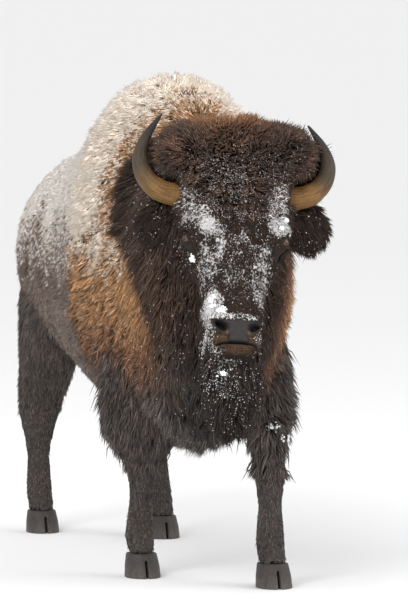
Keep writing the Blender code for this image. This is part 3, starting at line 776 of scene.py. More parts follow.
def build_skin(settings):
    """The one skin, with the coat's markings and its node weights kept for the tufts."""
    shell = new_object("skin_shell", flesh_shell(settings.swell))
    grow = shell.modifiers.new("grow_together", "REMESH")
    grow.mode, grow.voxel_size, grow.use_smooth_shade = "VOXEL", settings.voxel, True
    mesh = evaluated_mesh(shell)
    remove(shell)
    mesh.name = "skin"
    table = neighbour_table(mesh)
    move_vertices(mesh, relax(vertex_array(mesh), table, 2))
    for name, shares in zip(FLESH, node_weights(mesh, table).T):
        attribute(mesh, "of_" + name, shares)
    for zone in FINER_ZONES:
        refine(mesh, zone)

    table = neighbour_table(mesh)
    weights = flesh_shares(mesh)
    points = vertex_array(mesh)
    on_face = in_zone(to_head(points), FINER_ZONES[0])
    points = relax(points, table, 8, np.where(on_face, 0.5, 0.0)[:, None])
    move_vertices(mesh, points)

    normals = unit(relax(normal_array(mesh), table, 6))
    room = SINK_SHARE * room_inside(mesh, points, normals)
    depth = np.minimum(coat_depth(points, weights) + settings.swell, room)
    depth = relax(depth, table, 8)
    points = relax(points - normals * depth[:, None], table, 3, 0.4)

    local, bare_eye, rim = sculpt_eyes(to_head(points))
    local, nose, bare_muzzle, hole, tan = sculpt_muzzle(local)
    move_vertices(mesh, from_head(local))
    shade_smooth(mesh)
    mesh.update()

    pigment, snow = markings(vertex_array(mesh), normal_array(mesh), weights)
    attribute(mesh, "pigment", pigment, "FLOAT_COLOR")
    # hole holds the painted shade inside the nostrils and along the mouth line.
    shares = {"snow": snow * 0.5, "tone": tone(vertex_array(mesh), weights), "bare": most(bare_eye, bare_muzzle),
              "nose": nose, "hole": hole, "rim": rim, "tan": tan}
    for name, values in shares.items():
        attribute(mesh, name, values)
    return mesh


# ---- The coat ----
def share_out(skin, weights):
    """Which coat piece each face of the skin belongs to."""
    groups = list(dict.fromkeys(names for names, _, _, _ in COAT_PIECES.values()))
    best = face_means(skin, np.stack([on(weights, *names) for names in groups], axis=1)).argmax(axis=1)
    x = face_means(skin, vertex_array(skin)[:, 0])
    owner = np.full(len(best), -1)
    for i, (names, side, _, _) in enumerate(COAT_PIECES.values()):
        owner[(best == groups.index(names)) & ((side == 0) | (x * side > 0))] = i
    return owner


class SkinPatch:
    """The part of the skin that one coat piece grows on, cut into triangles and unwrapped by itself."""

    def __init__(self, skin, weights, faces):
        faces = [tuple(skin.polygons[int(i)].vertices) for i in faces]
        used = np.unique(np.array([v for face in faces for v in face]))
        place = np.zeros(len(skin.vertices), int)
        place[used] = np.arange(len(used))
        points = vertex_array(skin)[used]
        self.mesh = bpy.data.meshes.new("patch")
        self.mesh.from_pydata(points.tolist(), [], [[int(place[v]) for v in face] for face in faces])
        self.points, self.normals, self.weights = points, normal_array(skin)[used], weights[used]
        self.bare = np.stack([read_attribute(skin, n) for n in ("bare", "nose", "hole")], axis=1)[used]
        self.unwrap()

    def unwrap(self):
        """Lays the patch out flat by its own shape."""
        holder = new_object("patch", self.mesh)
        bpy.context.view_layer.objects.active = holder
        for other in bpy.context.selected_objects:
            other.select_set(False)
        holder.select_set(True)
        bpy.ops.object.mode_set(mode="EDIT")
        bpy.ops.mesh.select_all(action="SELECT")
        bpy.ops.uv.smart_project(angle_limit=math.radians(66), island_margin=0.003)
        bpy.ops.object.mode_set(mode="OBJECT")
        self.mesh.calc_loop_triangles()
        triangles = self.mesh.loop_triangles
        self.corners = fetch(triangles, "vertices", 3, np.int32)
        self.flat = fetch(self.mesh.uv_layers.active.uv, "vector", 2)[fetch(triangles, "loops", 3, np.int32)]
        remove(holder)

    def scatter(self, count, rng):
        """Roots spread evenly over the patch: points, normals, node weights and flat places."""
        a, b, c = (self.points[self.corners[:, i]] for i in range(3))
        area = np.linalg.norm(np.cross(b - a, c - a), axis=1) / 2 * self.crowding()
        reached = np.cumsum(area)
        steps = (np.arange(count) + rng.random(count)) / count * reached[-1]
        chosen = np.minimum(np.searchsorted(reached, steps), len(area) - 1)
        u, v = rng.random(count), rng.random(count)
        over = u + v > 1
        u[over], v[over] = 1 - u[over], 1 - v[over]
        shares = np.stack([1 - u - v, u, v], axis=1)[:, :, None]
        corners = self.corners[chosen]

        def blend(values):
            return (values[corners] * shares).sum(axis=1)

        flat = (self.flat[chosen] * shares).sum(axis=1)
        return blend(self.points), unit(blend(self.normals)), blend(self.weights), flat

    def crowding(self):
        """How close tufts stand on each triangle: closer on the face, and left off bare skin."""
        weights = self.weights[self.corners].mean(axis=1)
        local = to_head(self.points[self.corners].mean(axis=1))
        wanted = 1 + on(weights, "head") * (2.4 * ease(0.14, 0.02, local[:, 1]) + 0.9)
        bare = self.bare[self.corners].mean(axis=1).max(axis=1)
        return wanted * (1 - ease(0.25, 0.6, bare))


def beside_horn_roots(local):
    """1 in the ring of hair round each horn's root, falling to 0 outside it."""
    return bell(pair_distance(local, HORN_ROOT), 0.068, 6)


def lie_of_coat(points, normals, weights):
    """The direction in which the tufts lie along the skin."""
    local = to_head(points)
    side, out = np.sign(local[:, 0]), np.abs(local[:, 0])
    chest, crown = on(weights, "chest"), on(weights, "crown")
    heading = style(weights, LIE)
    turned = heading @ HEAD_AXES.T
    # On the head the coat runs from the crown down to the nose and back over the cheeks.
    swept = columns(0.35 * side * ease(0.0, 0.14, out), 0.55 * ease(0.02, 0.14, local[:, 1]), -1.0) @ HEAD_AXES.T
    heading = mix(heading, swept, np.clip(on(weights, "head", "crown"), 0, 1)[:, None])
    heading = mix(heading, turned, np.clip(on(weights, "ear_left", "ear_right"), 0, 1)[:, None])
    # Round the horns' roots, and on the crown's sides above them, the hair lies out along the horns.
    along_horn = 1.5 * columns(0.93 * side, 0.0, -0.37) @ HEAD_AXES.T
    heading = mix(heading, along_horn, most(beside_horn_roots(local), 0.9 * crown * ease(0.05, 0.12, out))[:, None])
    swirl, waves = gusts(points, 0.07, 11), gusts(points, 0.030, 14)
    wild = 0.14 + 0.60 * crown + 0.30 * chest + 0.12 * on(weights, "neck")
    heading = unit(heading) + swirl * wild[:, None] + waves * (0.95 * chest)[:, None]
    heading -= normals * (heading * normals).sum(axis=1, keepdims=True)
    return unit(heading)


def tuft_shape(points, weights):
    """Each tuft's own length and width."""
    local = to_head(points)
    head, crown, z = on(weights, "head"), on(weights, "crown"), points[:, 2]
    sides = ease(0.05, 0.18, local[:, 1]) * ease(-0.36, -0.16, local[:, 2])
    cheeks = ease(0.02, 0.09, local[:, 1]) * ease(-0.42, -0.30, local[:, 2])
    forehead = ease(0.02, 0.20, local[:, 2]) * ease(0.10, 0.02, local[:, 1])
    muzzle = ease(-0.20, -0.33, local[:, 2]) * head * (1 - sides)
    long = style(weights, LENGTH) + head * (0.032 * sides + 0.016 * cheeks + 0.024 * forehead)
    long = long + crown * (0.018 * temples(local) - 0.022 * ease(0.24, 0.12, local[:, 2]))
    long = long + 0.034 * mane_share(points, weights, 0.10) * ease(1.05, 1.20, z)
    long = long + 0.034 * beside_horn_roots(local) * np.clip(head + crown, 0, 1)
    long = long * (1 - 0.55 * muzzle)
    tassel, chaps = on(weights, "tail") * ease(1.05, 0.92, z), on(weights, "chest") * ease(0.90, 0.60, z)
    return long + 0.10 * tassel + 0.03 * chaps, style(weights, WIDTH) * (1 + 0.25 * sides * head - 0.2 * muzzle)


def tuft_lines(roots, normals, lie, long, lift, curl, rng, stations):
    """The middle line of every tuft, as an array of tuft, station and coordinate."""
    count = len(roots)
    across = np.cross(normals, lie)
    lift_root, lift_tip = (np.radians(a * (0.8 + 0.4 * rng.random(count))) for a in lift)
    aim = np.radians(rng.normal(0, 1, count) * (8 + 0.12 * curl))
    turn = np.radians(curl * rng.normal(0, 0.75, count))
    line, before = [roots.copy()], None
    for k, at in enumerate(stations):
        rise = mix(lift_root, lift_tip, at)[:, None]
        yaw = (aim + turn * at)[:, None]
        heading = np.cos(rise) * (np.cos(yaw) * lie + np.sin(yaw) * across) + np.sin(rise) * normals
        if k:
            line.append(line[-1] + (heading + before) / 2 * (long * (at - stations[k - 1]))[:, None])
        before = heading
    return np.stack(line, axis=1)


def gather_clumps(line, rng, spacing, strength):
    """Draws the tips of neighbouring tufts together, so that locks form."""
    count = len(line)
    leaders = rng.permutation(count)[: max(8, int(count * spacing))]
    tree = KDTree(len(leaders))
    for i, leader in enumerate(leaders):
        tree.insert(line[leader, 0], i)
    tree.balance()
    nearest = np.array([leaders[tree.find(point)[1]] for point in line[:, 0]])
    stations = line.shape[1]
    pull = np.array([(k / (stations - 1)) ** 1.4 for k in range(stations)])
    keep_apart = rng.normal(0, 0.16, (count, 1, 3)) * np.linalg.norm(line[:, -1:] - line[:, :1], axis=2)[:, :, None]
    aim = line[nearest] + keep_apart * pull[None, :, None] * 0.6
    return line + (aim - line) * (pull[None, :] * strength[:, None])[:, :, None]


def clear_of_horns(line):
    """Puts the wool that would cover a horn behind it, except round the horn's root."""
    local = to_head(line.reshape(-1, 3))
    root = np.tile(np.arange(line.shape[1]) == 0, len(line))
    for side_name in HORN_LENGTHS:
        middle = np.array(horn_line(side_name))[HORN_COVERED:]
        shares = np.arange(HORN_COVERED, HORN_STEPS + 1) / HORN_STEPS
        radius = horn_radius(bpy.context.scene.bison_horn, shares)
        away = np.hypot(local[:, None, 0] - middle[:, 0], local[:, None, 2] - middle[:, 2])
        nearest = away.argmin(axis=1)
        close = away[np.arange(len(local)), nearest] < radius[nearest] + HORN_BESIDE
        back = middle[nearest, 1] + radius[nearest] + HORN_BEHIND
        hides = close & ~root & (local[:, 1] < back) & (local[:, 1] > back - HORN_REACH)
        local[hides, 1] = back[hides]
    return from_head(local).reshape(line.shape)


TUFT_TAPERS = {1: (1.0,), 2: (0.90, 0.80)}  # the width at each ring of a tuft, by its number of rings
TUFT_SECTION = (0.58, 0.36)  # half the tuft's breadth and thickness, in widths
BAKE_PATCH = 0.003  # how wide a tuft's own patch is in the OFBake map


def tuft_mesh(name, line, normals, wide, flat):
    """Three-sided tapered tufts as one closed-ended mesh, with every tuft's small patch in the OFBake map."""
    count, stations, _ = line.shape
    rings = stations - 1
    heading = np.gradient(line, axis=1)
    side = unit(np.cross(heading, normals[:, None, :]))
    up = unit(np.cross(side, heading))
    verts = np.empty((count, rings * 3 + 1, 3))
    for k, taper in enumerate(TUFT_TAPERS[rings]):
        for j in range(3):
            angle = math.pi * (1 / 2 + j * 2 / 3)
            breadth, thickness = math.cos(angle) * TUFT_SECTION[0], math.sin(angle) * TUFT_SECTION[1]
            corner = side[:, k] * breadth + up[:, k] * thickness
            verts[:, k * 3 + j] = line[:, k] + corner * (wide * taper)[:, None]
    verts[:, -1] = line[:, -1]

    # Each face's corners by ring and place round it. The tip's corner lies half way between two places.
    quads = [((k, j), (k, j + 1), (k + 1, j + 1), (k + 1, j)) for k in range(rings - 1) for j in range(3)]
    points_up = [((rings - 1, j), (rings - 1, j + 1), (rings, j + 0.5)) for j in range(3)]
    faces = [*quads, *points_up, ((0, 2), (0, 1), (0, 0))]
    corners = [corner for face in faces for corner in face]
    indices = np.array([rings * 3 if k == rings else k * 3 + j % 3 for k, j in corners])
    offsets = np.array([(j / 3 - 0.5, k / rings - 0.5) for k, j in corners]) * BAKE_PATCH
    sizes = np.array([len(face) for face in faces])

    mesh = bpy.data.meshes.new(name)
    each = verts.shape[1]
    mesh.vertices.add(count * each)
    mesh.vertices.foreach_set("co", verts.astype(np.float32).ravel())
    mesh.loops.add(count * len(indices))
    all_indices = (indices[None, :] + (np.arange(count) * each)[:, None]).ravel()
    mesh.loops.foreach_set("vertex_index", all_indices.astype(np.int32))
    mesh.polygons.add(count * len(sizes))
    starts = np.concatenate([[0], np.cumsum(np.tile(sizes, count))[:-1]])
    mesh.polygons.foreach_set("loop_start", starts.astype(np.int32))
    shade_smooth(mesh)
    mesh.update(calc_edges=True)
    layer = mesh.uv_layers.new(name="OFBake")
    spread = (flat[:, None, :] + offsets[None, :, :]).astype(np.float32)
    layer.uv.foreach_set("vector", np.clip(spread, 0, 1).ravel())
    return mesh


def build_coat_piece(name, patch, settings, quick):
    """One piece of the coat, with the markings of each tuft's root."""
    _, _, count, rings = COAT_PIECES[name]
    rng = np.random.default_rng(SEED + list(COAT_PIECES).index(name))
    count = int(count * settings.density * (QUICK_COAT if quick else 1))
    roots, normals, weights, flat = patch.scatter(count, rng)
    lie = lie_of_coat(roots, normals, weights)
    woolly, crown, on_head = on(weights, "chest"), on(weights, "crown"), on(weights, "head")
    long, wide = tuft_shape(roots, weights)
    wisp = rng.random(count) < WISP_SHARE * (1 - crown)
    long = long * settings.length_scale * (0.72 + 0.5 * rng.random(count)) * np.where(wisp, 1.3, 1.0)
    long = long * (1 + 0.42 * crown * drift(roots, 0.045, 31))
    wide = wide * (QUICK_WIDTH if quick else 1) * (0.8 + 0.4 * rng.random(count))
    # The cape's wool stands in lumps that run with the lie of the coat.
    along_lie, across_lie = (roots * lie).sum(axis=1), (roots * np.cross(normals, lie)).sum(axis=1)
    lumps = drift(columns(along_lie * 0.5, across_lie, roots[:, 2]), 0.042, 17)
    lumps = np.clip(1.05 - 1.9 * np.abs(lumps), 0, 1)
    roots_out = roots + normals * ((lumps - 0.5) * 0.034 * woolly - 0.002)[:, None]
    lift = [angle * np.where(wisp, 1.3, 1.0) for angle in style(weights, LIFT).T]
    stations = np.linspace(0, 1, rings + 1)
    line = tuft_lines(roots_out, normals, lie, long, lift, style(weights, CURL), rng, stations)
    clump = style(weights, CLUMP) * np.where(wisp, 0.3, 1.0)
    if "cape" in name:
        line = gather_clumps(line, rng, CAPE_LOCKS, 0.85 * clump)
    line = clear_of_horns(gather_clumps(line, rng, LONG_LOCKS if rings > 1 else SHORT_LOCKS, clump))
    line[:, :, 2] = np.maximum(line[:, :, 2], GROUND_GAP)
    mesh = tuft_mesh(name, line, normals, wide, flat)

    pigment, snow = markings(roots, normals, weights)
    each = rings * 3 + 1
    along = np.append(np.repeat(stations[:-1], 3), 1.0)
    own = rng.random(count)
    # Snow is caught in patches and on single tufts, and reaches further down a tuft the more of it there is.
    patchy = 0.5 + 0.70 * drift(roots, mix(0.017, 0.011, woolly)[:, None], 21) + 0.30 * drift(roots, 0.040, 23)
    patchy = mix(patchy, 1 - lumps, 0.30 * woolly)
    caught = mix(1.15, 1.02, on_head) * snow + 0.50 * (0.5 - patchy) + mix(0.30, 0.50, on_head) * (own - 0.5)
    caught = np.clip(caught, 0, 1) * ease(0.03, mix(0.30, 0.16, on_head), snow)
    start = 0.70 - 1.20 * snow - 0.9 * on_head
    dusted = caught[:, None] * ease(0, 1, (along[None, :] - start[:, None]) / 0.35)
    # Tufts differ in brightness one by one and by streaks. Painted shade darkens them in the crevices between the
    # lumps and towards the root, less on the crown.
    variety_and_painted_shade = 1 + settings.tuft_variety * (rng.random(count) * 2 - 1)
    streaks = drift(columns(along_lie * 0.35, across_lie, roots[:, 2] * 0.2), 0.014, 22)
    variety_and_painted_shade = variety_and_painted_shade * np.clip(1 + mix(0.55, 1.40, woolly) * streaks + 0.15 * drift(roots, 0.10, 24), 0.3, 2)
    variety_and_painted_shade = variety_and_painted_shade * mix(1.0, 0.36 + 1.12 * lumps, woolly) * mix(1.0, 0.72 + 0.56 * own, woolly)
    shade = variety_and_painted_shade[:, None] * mix(mix(settings.root_shade, 0.66, crown)[:, None], 1.32, along[None, :] ** 0.8)
    attribute(mesh, "pigment", np.repeat(pigment, each, axis=0), "FLOAT_COLOR")
    attribute(mesh, "tone", np.repeat(tone(roots, weights), each))
    attribute(mesh, "frost", np.repeat(frost(roots, weights), each) * (np.tile(along, count) > 0.3))
    attribute(mesh, "snow", dusted)
    attribute(mesh, "shade", shade)
    return mesh


# ---- Materials ----
class Nodes:
    """A short way to lay out a material's nodes."""

    def __init__(self, name):
        self.material = bpy.data.materials.new(name)
        self.material.use_nodes = True
        self.tree = self.material.node_tree
        self.shader = self.tree.nodes["Principled BSDF"]

    def set(self, node, key, value):
        """Links or sets one input, found by its place or by its name with _ for each space."""
        socket = node.inputs[key if isinstance(key, int) else key.replace("_", " ")]
        if isinstance(value, bpy.types.NodeSocket):
            self.tree.links.new(value, socket)
        else:
            socket.default_value = (*value, 1) if socket.type == "RGBA" else value

    def add(self, kind, *values, **named):
        """A node with its inputs set by place and by name."""
        node = self.tree.nodes.new("ShaderNode" + kind)
        for key, value in (*enumerate(values), *named.items()):
            self.set(node, key, value)
        return node

    def read(self, name, output="Fac"):
        """What an attribute of the mesh holds."""
        node = self.add("Attribute")
        node.attribute_name = name
        return node.outputs[output]

    def pigment(self):
        """The shares of gold, rust, slate and flank brown."""
        split = self.add("SeparateColor", self.read("pigment", "Color"))
        return *split.outputs, self.read("pigment", "Alpha")

    def coordinates(self):
        return self.add("TexCoord").outputs["Object"]

    def noise(self, scale, detail=3.0, vector=None):
        place = self.coordinates() if vector is None else vector
        return self.add("TexNoise", Scale=scale, Detail=detail, Vector=place).outputs["Fac"]

    def mix(self, factor, first, second, blend="MIX"):
        node = self.add("Mix")
        node.data_type, node.blend_type = "RGBA", blend
        for place, value in ((0, factor), (6, first), (7, second)):
            self.set(node, place, value)
        return node.outputs[2]

    def shaded(self, paint, factor):
        return self.mix(1.0, paint, self.add("CombineColor", factor, factor, factor).outputs[0], "MULTIPLY")

    def math(self, operation, *values):
        node = self.add("Math", *values)
        node.operation = operation
        return node.outputs[0]

    def times(self, first, second):
        return self.math("MULTIPLY", first, second)

    def plus(self, first, second):
        return self.math("ADD", first, second)

    def remap(self, value, low, high, to_low=0.0, to_high=1.0):
        return self.add("MapRange", value, low, high, to_low, to_high).outputs[0]

    def vary(self, noise, to_low, to_high):
        """A noise's middle values, from 0.3 to 0.7, stretched over another range."""
        return self.remap(noise, 0.3, 0.7, to_low, to_high)

    def bump(self, height, strength, distance):
        node = self.add("Bump", Height=height, Strength=strength, Distance=distance)
        self.set(self.shader, "Normal", node.outputs[0])

    def finish(self, paint, roughness, gloss=0.5, **others):
        sockets = {"Base_Color": paint, "Roughness": roughness, "Specular_IOR_Level": gloss, **others}
        for key, value in sockets.items():
            self.set(self.shader, key, value)
        return self.material


HAIR_ROUGHNESS = 0.85
WOOL_FLECKS, FACE_FLECKS = 64.0, 118.0  # the scale of the snow's flecks, the larger the finer
# Painted shade inside the nostrils and along the mouth line.
HOLLOW_PAINTED_SHADE = (0.006, 0.005, 0.005)
CRACK_BROWN = (0.05, 0.03, 0.02)
IRIS_FIBRE, CORNER_CLOUD, PUPIL_BLACK = (0.075, 0.034, 0.016), (0.10, 0.03, 0.02), (0.002, 0.002, 0.003)


def coat_colour(nodes, coat):
    """Paints the pigments over the dark brown, the flank's first and the gold last."""
    painted = coat.colour_dark
    colours = (coat.colour_gold, coat.colour_rust, coat.colour_slate, coat.colour_flank)
    for held, over in reversed(list(zip(nodes.pigment(), colours))):
        painted = nodes.mix(held, painted, over)
    return nodes.shaded(painted, nodes.read("tone"))


def coat_material(name, coat, fleck_scale):
    """The hair's colours, with the snow it holds."""
    nodes = Nodes(name)
    # The shade attribute is each tuft's own brightness, with painted shade towards its root and between the lumps.
    shade = nodes.times(nodes.read("shade"), nodes.vary(nodes.noise(170.0), 0.66, 1.34))
    painted = nodes.shaded(coat_colour(nodes, coat), shade)
    dust = nodes.mix(nodes.pigment()[0], coat.colour_snow, coat.colour_cream)
    # The snow dust is darkened a little by the same painted shade.
    dust = nodes.shaded(dust, nodes.remap(shade, 0.3, 0.9, 0.86, 1.0))
    # Where the coat is half dusted, the snow breaks up into small flecks.
    held = nodes.read("snow")
    half = nodes.times(held, nodes.math("SUBTRACT", 1.0, held))
    fleck = nodes.times(nodes.math("SUBTRACT", nodes.noise(fleck_scale), 0.5), half)
    held = nodes.remap(nodes.plus(held, nodes.times(fleck, 26.0)), 0.28, 0.76)
    return nodes.finish(nodes.mix(held, painted, dust), HAIR_ROUGHNESS, 0.20)


def skin_material(skin, coat):
    """The coat's colours darkened as painted shade between the tufts, painted shade in the nostrils and along the
    mouth line, and the bare skin of eyes and nose.
    """
    nodes = Nodes("bison_skin")
    fine = nodes.noise(320.0, 4.0)
    # Painted shade: under the coat the skin shows the coat's colours at 0.3 to 0.6 of their brightness.
    painted = nodes.shaded(coat_colour(nodes, coat), nodes.vary(fine, 0.30, 0.60))
    speck = nodes.math("LESS_THAN", nodes.noise(90.0), nodes.times(nodes.read("snow"), 0.9))
    painted = nodes.mix(nodes.times(speck, 0.6), painted, coat.colour_snow)
    pebbles = nodes.add("TexVoronoi", Scale=420.0, Vector=nodes.coordinates()).outputs["Distance"]
    pad = nodes.mix(nodes.remap(pebbles, 0.0, 0.6, 0.0, 0.5), skin.colour_nose, skin.colour_bare)
    # The hole layer paints shade inside the nostrils and along the mouth line.
    layers = {"bare": skin.colour_bare, "nose": pad, "tan": skin.colour_tan, "hole": HOLLOW_PAINTED_SHADE,
              "rim": skin.colour_rim}
    for name, over in layers.items():
        painted = nodes.mix(nodes.read(name), painted, over)
    nodes.bump(nodes.plus(fine, nodes.times(pebbles, nodes.read("nose"))), 0.5, 0.002)
    smooth = nodes.math("MAXIMUM", nodes.read("nose"), nodes.read("rim"))
    return nodes.finish(painted, nodes.remap(smooth, 0, 1, HAIR_ROUGHNESS, 0.42), 0.25)


def horn_material(horn):
    """Ochre at the root, grey-brown at the bend and dark at the tip, with growth lines and long streaks."""
    nodes = Nodes("bison_horn")
    along = nodes.read("along")
    place = nodes.add("CombineXYZ", nodes.times(nodes.read("around"), 3.0), nodes.times(along, 1.2)).outputs[0]
    streak = nodes.noise(9.0, 6.0, place)
    edge = nodes.plus(along, nodes.remap(nodes.noise(22.0, 4.0), 0.2, 0.8, -0.07, 0.07))
    painted = nodes.mix(nodes.remap(edge, 0.30, 0.50), horn.colour_base, horn.colour_middle)
    painted = nodes.mix(nodes.remap(edge, 0.55, 0.86), painted, horn.colour_tip)
    painted = nodes.shaded(painted, nodes.vary(streak, 0.55, 1.28))
    crack = nodes.math("LESS_THAN", nodes.noise(5.0, 8.0, place), 0.40)
    painted = nodes.mix(nodes.times(crack, 0.55), painted, CRACK_BROWN)
    rings = nodes.add("TexWave", Scale=9.0, Distortion=2.5, Detail=3.0, Vector=place)
    rings.bands_direction = "Y"
    nodes.bump(nodes.plus(streak, nodes.times(rings.outputs["Fac"], 0.35)), 0.45, 0.003)
    return nodes.finish(painted, nodes.vary(streak, 0.48, 0.68), 0.22)


def hoof_material(hoof):
    """Dark horn with upright streaks and level rings, paler where it is worn near the ground."""
    nodes = Nodes("bison_hoof")
    height = nodes.add("SeparateXYZ", nodes.coordinates()).outputs[2]
    stretched = nodes.add("Mapping", Vector=nodes.coordinates(), Scale=(1, 1, 0.15)).outputs[0]
    streak = nodes.noise(160.0, 4.0, stretched)
    worn = nodes.remap(height, 0.0, 0.05, 1.9, 1.0)
    painted = nodes.shaded(hoof.colour_hoof, nodes.times(nodes.vary(streak, 0.65, 1.35), worn))
    rings = nodes.math("SINE", nodes.times(height, 900.0))
    nodes.bump(nodes.plus(streak, nodes.times(rings, 0.15)), 0.5, 0.002)
    return nodes.finish(painted, nodes.vary(streak, 0.45, 0.65), 0.25)


def eye_material(eye):
    """A very dark eye with a wide level pupil, a fibrous iris and a brown white. 'disc' is the distance from the
    pupil's middle in iris radii."""
    nodes = Nodes("bison_eye")
    iris = nodes.mix(nodes.vary(nodes.noise(900.0, 2.0), 0.0, 0.6), eye.colour_iris, IRIS_FIBRE)
    white = nodes.mix(nodes.vary(nodes.noise(400.0), 0.0, 0.35), eye.colour_white, CORNER_CLOUD)
    painted = nodes.mix(nodes.remap(nodes.read("disc"), 0.94, 1.04), iris, white)
    painted = nodes.mix(nodes.remap(nodes.read("pupil"), 0.9, 1.1), PUPIL_BLACK, painted)
    return nodes.finish(painted, 0.10, 0.35, Coat_Weight=0.35, Coat_Roughness=0.03)


def snow_material(snow):
    """White with a fine sparkle."""
    nodes = Nodes("caught_snow")
    painted = nodes.shaded(snow.colour_snow, nodes.vary(nodes.noise(700.0), 0.90, 1.06))
    nodes.bump(nodes.noise(900.0), 0.4, 0.001)
    return nodes.finish(painted, 0.7)


# ---- Horns, hooves and eyes ----
# A horn's heading above the level, in degrees, at each share of its length, and the length of each horn.
HORN_HEADINGS = ((0, -22), (0.18, 2), (0.24, 14), (0.37, 44), (0.50, 73), (0.66, 104), (0.82, 119), (1.0, 123))
HORN_LENGTHS = {"left": 0.430, "right": 0.465}
HORN_FORWARD_SWAY, HORN_TIP_RADIUS = 0.030, 0.003
HORN_STEPS, HORN_AROUND = 72, 40
HORN_COVERED = 16  # how many steps from its root the wool may cover a horn
# How near the wool may hang beside and behind a horn, and how far in front of that it is looked for.
HORN_BESIDE, HORN_BEHIND, HORN_REACH = 0.008, 0.004, 0.25
HOOF_WEAR = 0.004
IRIS_SHARE = 0.86  # the iris's radius next to the eyeball's
PUPIL_WIDE, PUPIL_HIGH = 0.36, 0.17  # half the pupil's width and height next to the eyeball's radius


def horn_line(side_name):
    """Points along a horn's middle in the head's frame."""
    side, step = SIDES[side_name], HORN_LENGTHS[side_name] / HORN_STEPS
    point = mirrored(HORN_ROOT, side)
    line = [point.copy()]
    for i in range(HORN_STEPS):
        angle = math.radians(curve(HORN_HEADINGS, (i + 0.5) / HORN_STEPS))
        point = point + Vector((math.cos(angle) * side, 0, math.sin(angle))) * step
        sway = -HORN_FORWARD_SWAY * math.sin(math.pi * (i + 1) / HORN_STEPS)
        line.append(point + Vector((0, sway, 0)))
    return line


def horn_radius(horn, along):
    return mix(horn.radius, HORN_TIP_RADIUS, along ** 1.6)


def build_horn(side_name, horn):
    """A horn with knobs and flutes, each vertex marked with its place along and around it."""
    line = horn_line(side_name)
    work = bmesh.new()
    along_layer = work.verts.layers.float.new("along")
    around_layer = work.verts.layers.float.new("around")
    rings = []
    for i, point in enumerate(line[:-1]):
        along = i / HORN_STEPS
        ahead = (line[i + 1] - line[max(i - 1, 0)]).normalized()
        out = Vector((0, 1, 0)).cross(ahead).normalized()
        front = ahead.cross(out)
        knobs = 0.035 * (1 - along) * math.sin(along * 46) + 0.02 * math.sin(along * 23 + 1)
        rings.append([])
        for j in range(HORN_AROUND):
            angle = 2 * math.pi * j / HORN_AROUND
            flute = 0.012 * math.sin(angle * 7 + 3 * along) + 0.008 * math.sin(angle * 13 - 5 * along)
            reach = horn_radius(horn, along) * (1 + knobs * (1 - along * 0.8) + flute * (1 - along))
            vertex = work.verts.new(HEAD @ (point + (out * math.cos(angle) + front * math.sin(angle)) * reach))
            vertex[along_layer] = along
            vertex[around_layer] = abs(j / HORN_AROUND * 2 - 1)
            rings[-1].append(vertex)
    join_rings(work, rings)
    tip = work.verts.new(HEAD @ line[-1])
    tip[along_layer] = 1.0
    tip[around_layer] = 0.5
    for j in range(HORN_AROUND):
        work.faces.new((rings[-1][j - 1], rings[-1][j], tip))
    work.faces.new(rings[0][::-1])
    return mesh_from(work, "horn_" + side_name, rounded=True)


def build_hoof(node):
    """A rounded copy of a packed hoof or dewclaw."""
    work = bmesh.new()
    work.from_mesh(frame["nodes"][node].data)
    bmesh.ops.remove_doubles(work, verts=work.verts, dist=1e-5)
    bmesh.ops.dissolve_limit(work, angle_limit=math.radians(1), verts=work.verts, edges=work.edges)
    made = new_object(node + "_rough", mesh_from(work, node))
    bevel = made.modifiers.new("worn_edges", "BEVEL")
    bevel.width, bevel.segments = HOOF_WEAR, 3
    bevel.limit_method, bevel.angle_limit = "ANGLE", math.radians(25)
    final = evaluated_mesh(made)
    remove(made)
    shade_smooth(final)
    return final


def build_eye(side_name):
    """An eyeball with a raised cornea, with the iris measured from its own axis."""
    side = SIDES[side_name]
    outward, along, _ = eye_axes(side)
    gaze = unit(outward - along * 0.30)
    level = unit(along - gaze * (along @ gaze))
    high = np.cross(gaze, level)
    centre = np.array(mirrored(EYE_PLACE, side))
    work = bmesh.new()
    bmesh.ops.create_uvsphere(work, u_segments=48, v_segments=32, radius=1.0)
    disc_layer = work.verts.layers.float.new("disc")
    pupil_layer = work.verts.layers.float.new("pupil")
    for vertex in work.verts:
        x, y, z = vertex.co.normalized()
        iris = math.hypot(x, y) / IRIS_SHARE if z > 0 else 2.0
        cornea = 0.05 * max(0.0, 1 - (iris / 1.05) ** 2)
        place = centre + (level * x + high * y + gaze * z) * (EYE_RADIUS * (1 + cornea))
        vertex[disc_layer] = iris
        vertex[pupil_layer] = math.hypot(x / PUPIL_WIDE, y / PUPIL_HIGH) if z > 0 else 5.0
        vertex.co = HEAD @ Vector(place)
    return mesh_from(work, "eyeball_" + side_name, rounded=True)


# ---- Snow caught in the coat ----
CROWN_GRAIN = 0.75  # the crown's grains next to the others
# Clumps: the centre, the radius, how many lumps, and how far over the skin they lie.
HEAD_CLUMPS = (
    ((-0.141, 0.040, -0.067), 0.013, 30, 0.010),
    ((0.159, 0.023, 0.071), 0.012, 22, 0.012),
    ((0.149, 0.016, 0.039), 0.010, 18, 0.010),
    ((0.180, 0.060, 0.045), 0.007, 8, 0.012),
    ((-0.043, 0.000, -0.264), 0.019, 44, 0.006),
    ((-0.080, 0.010, -0.212), 0.020, 30, 0.008),
    ((-0.076, 0.010, -0.240), 0.016, 22, 0.007),
    ((-0.030, 0.060, -0.462), 0.012, 20, 0.030),
)
LEG_CLUMPS = (
    ((0.18, -0.80, 0.558), 0.015, 22, 0.030),
    ((0.21, -0.785, 0.52), 0.020, 34, 0.030),
)


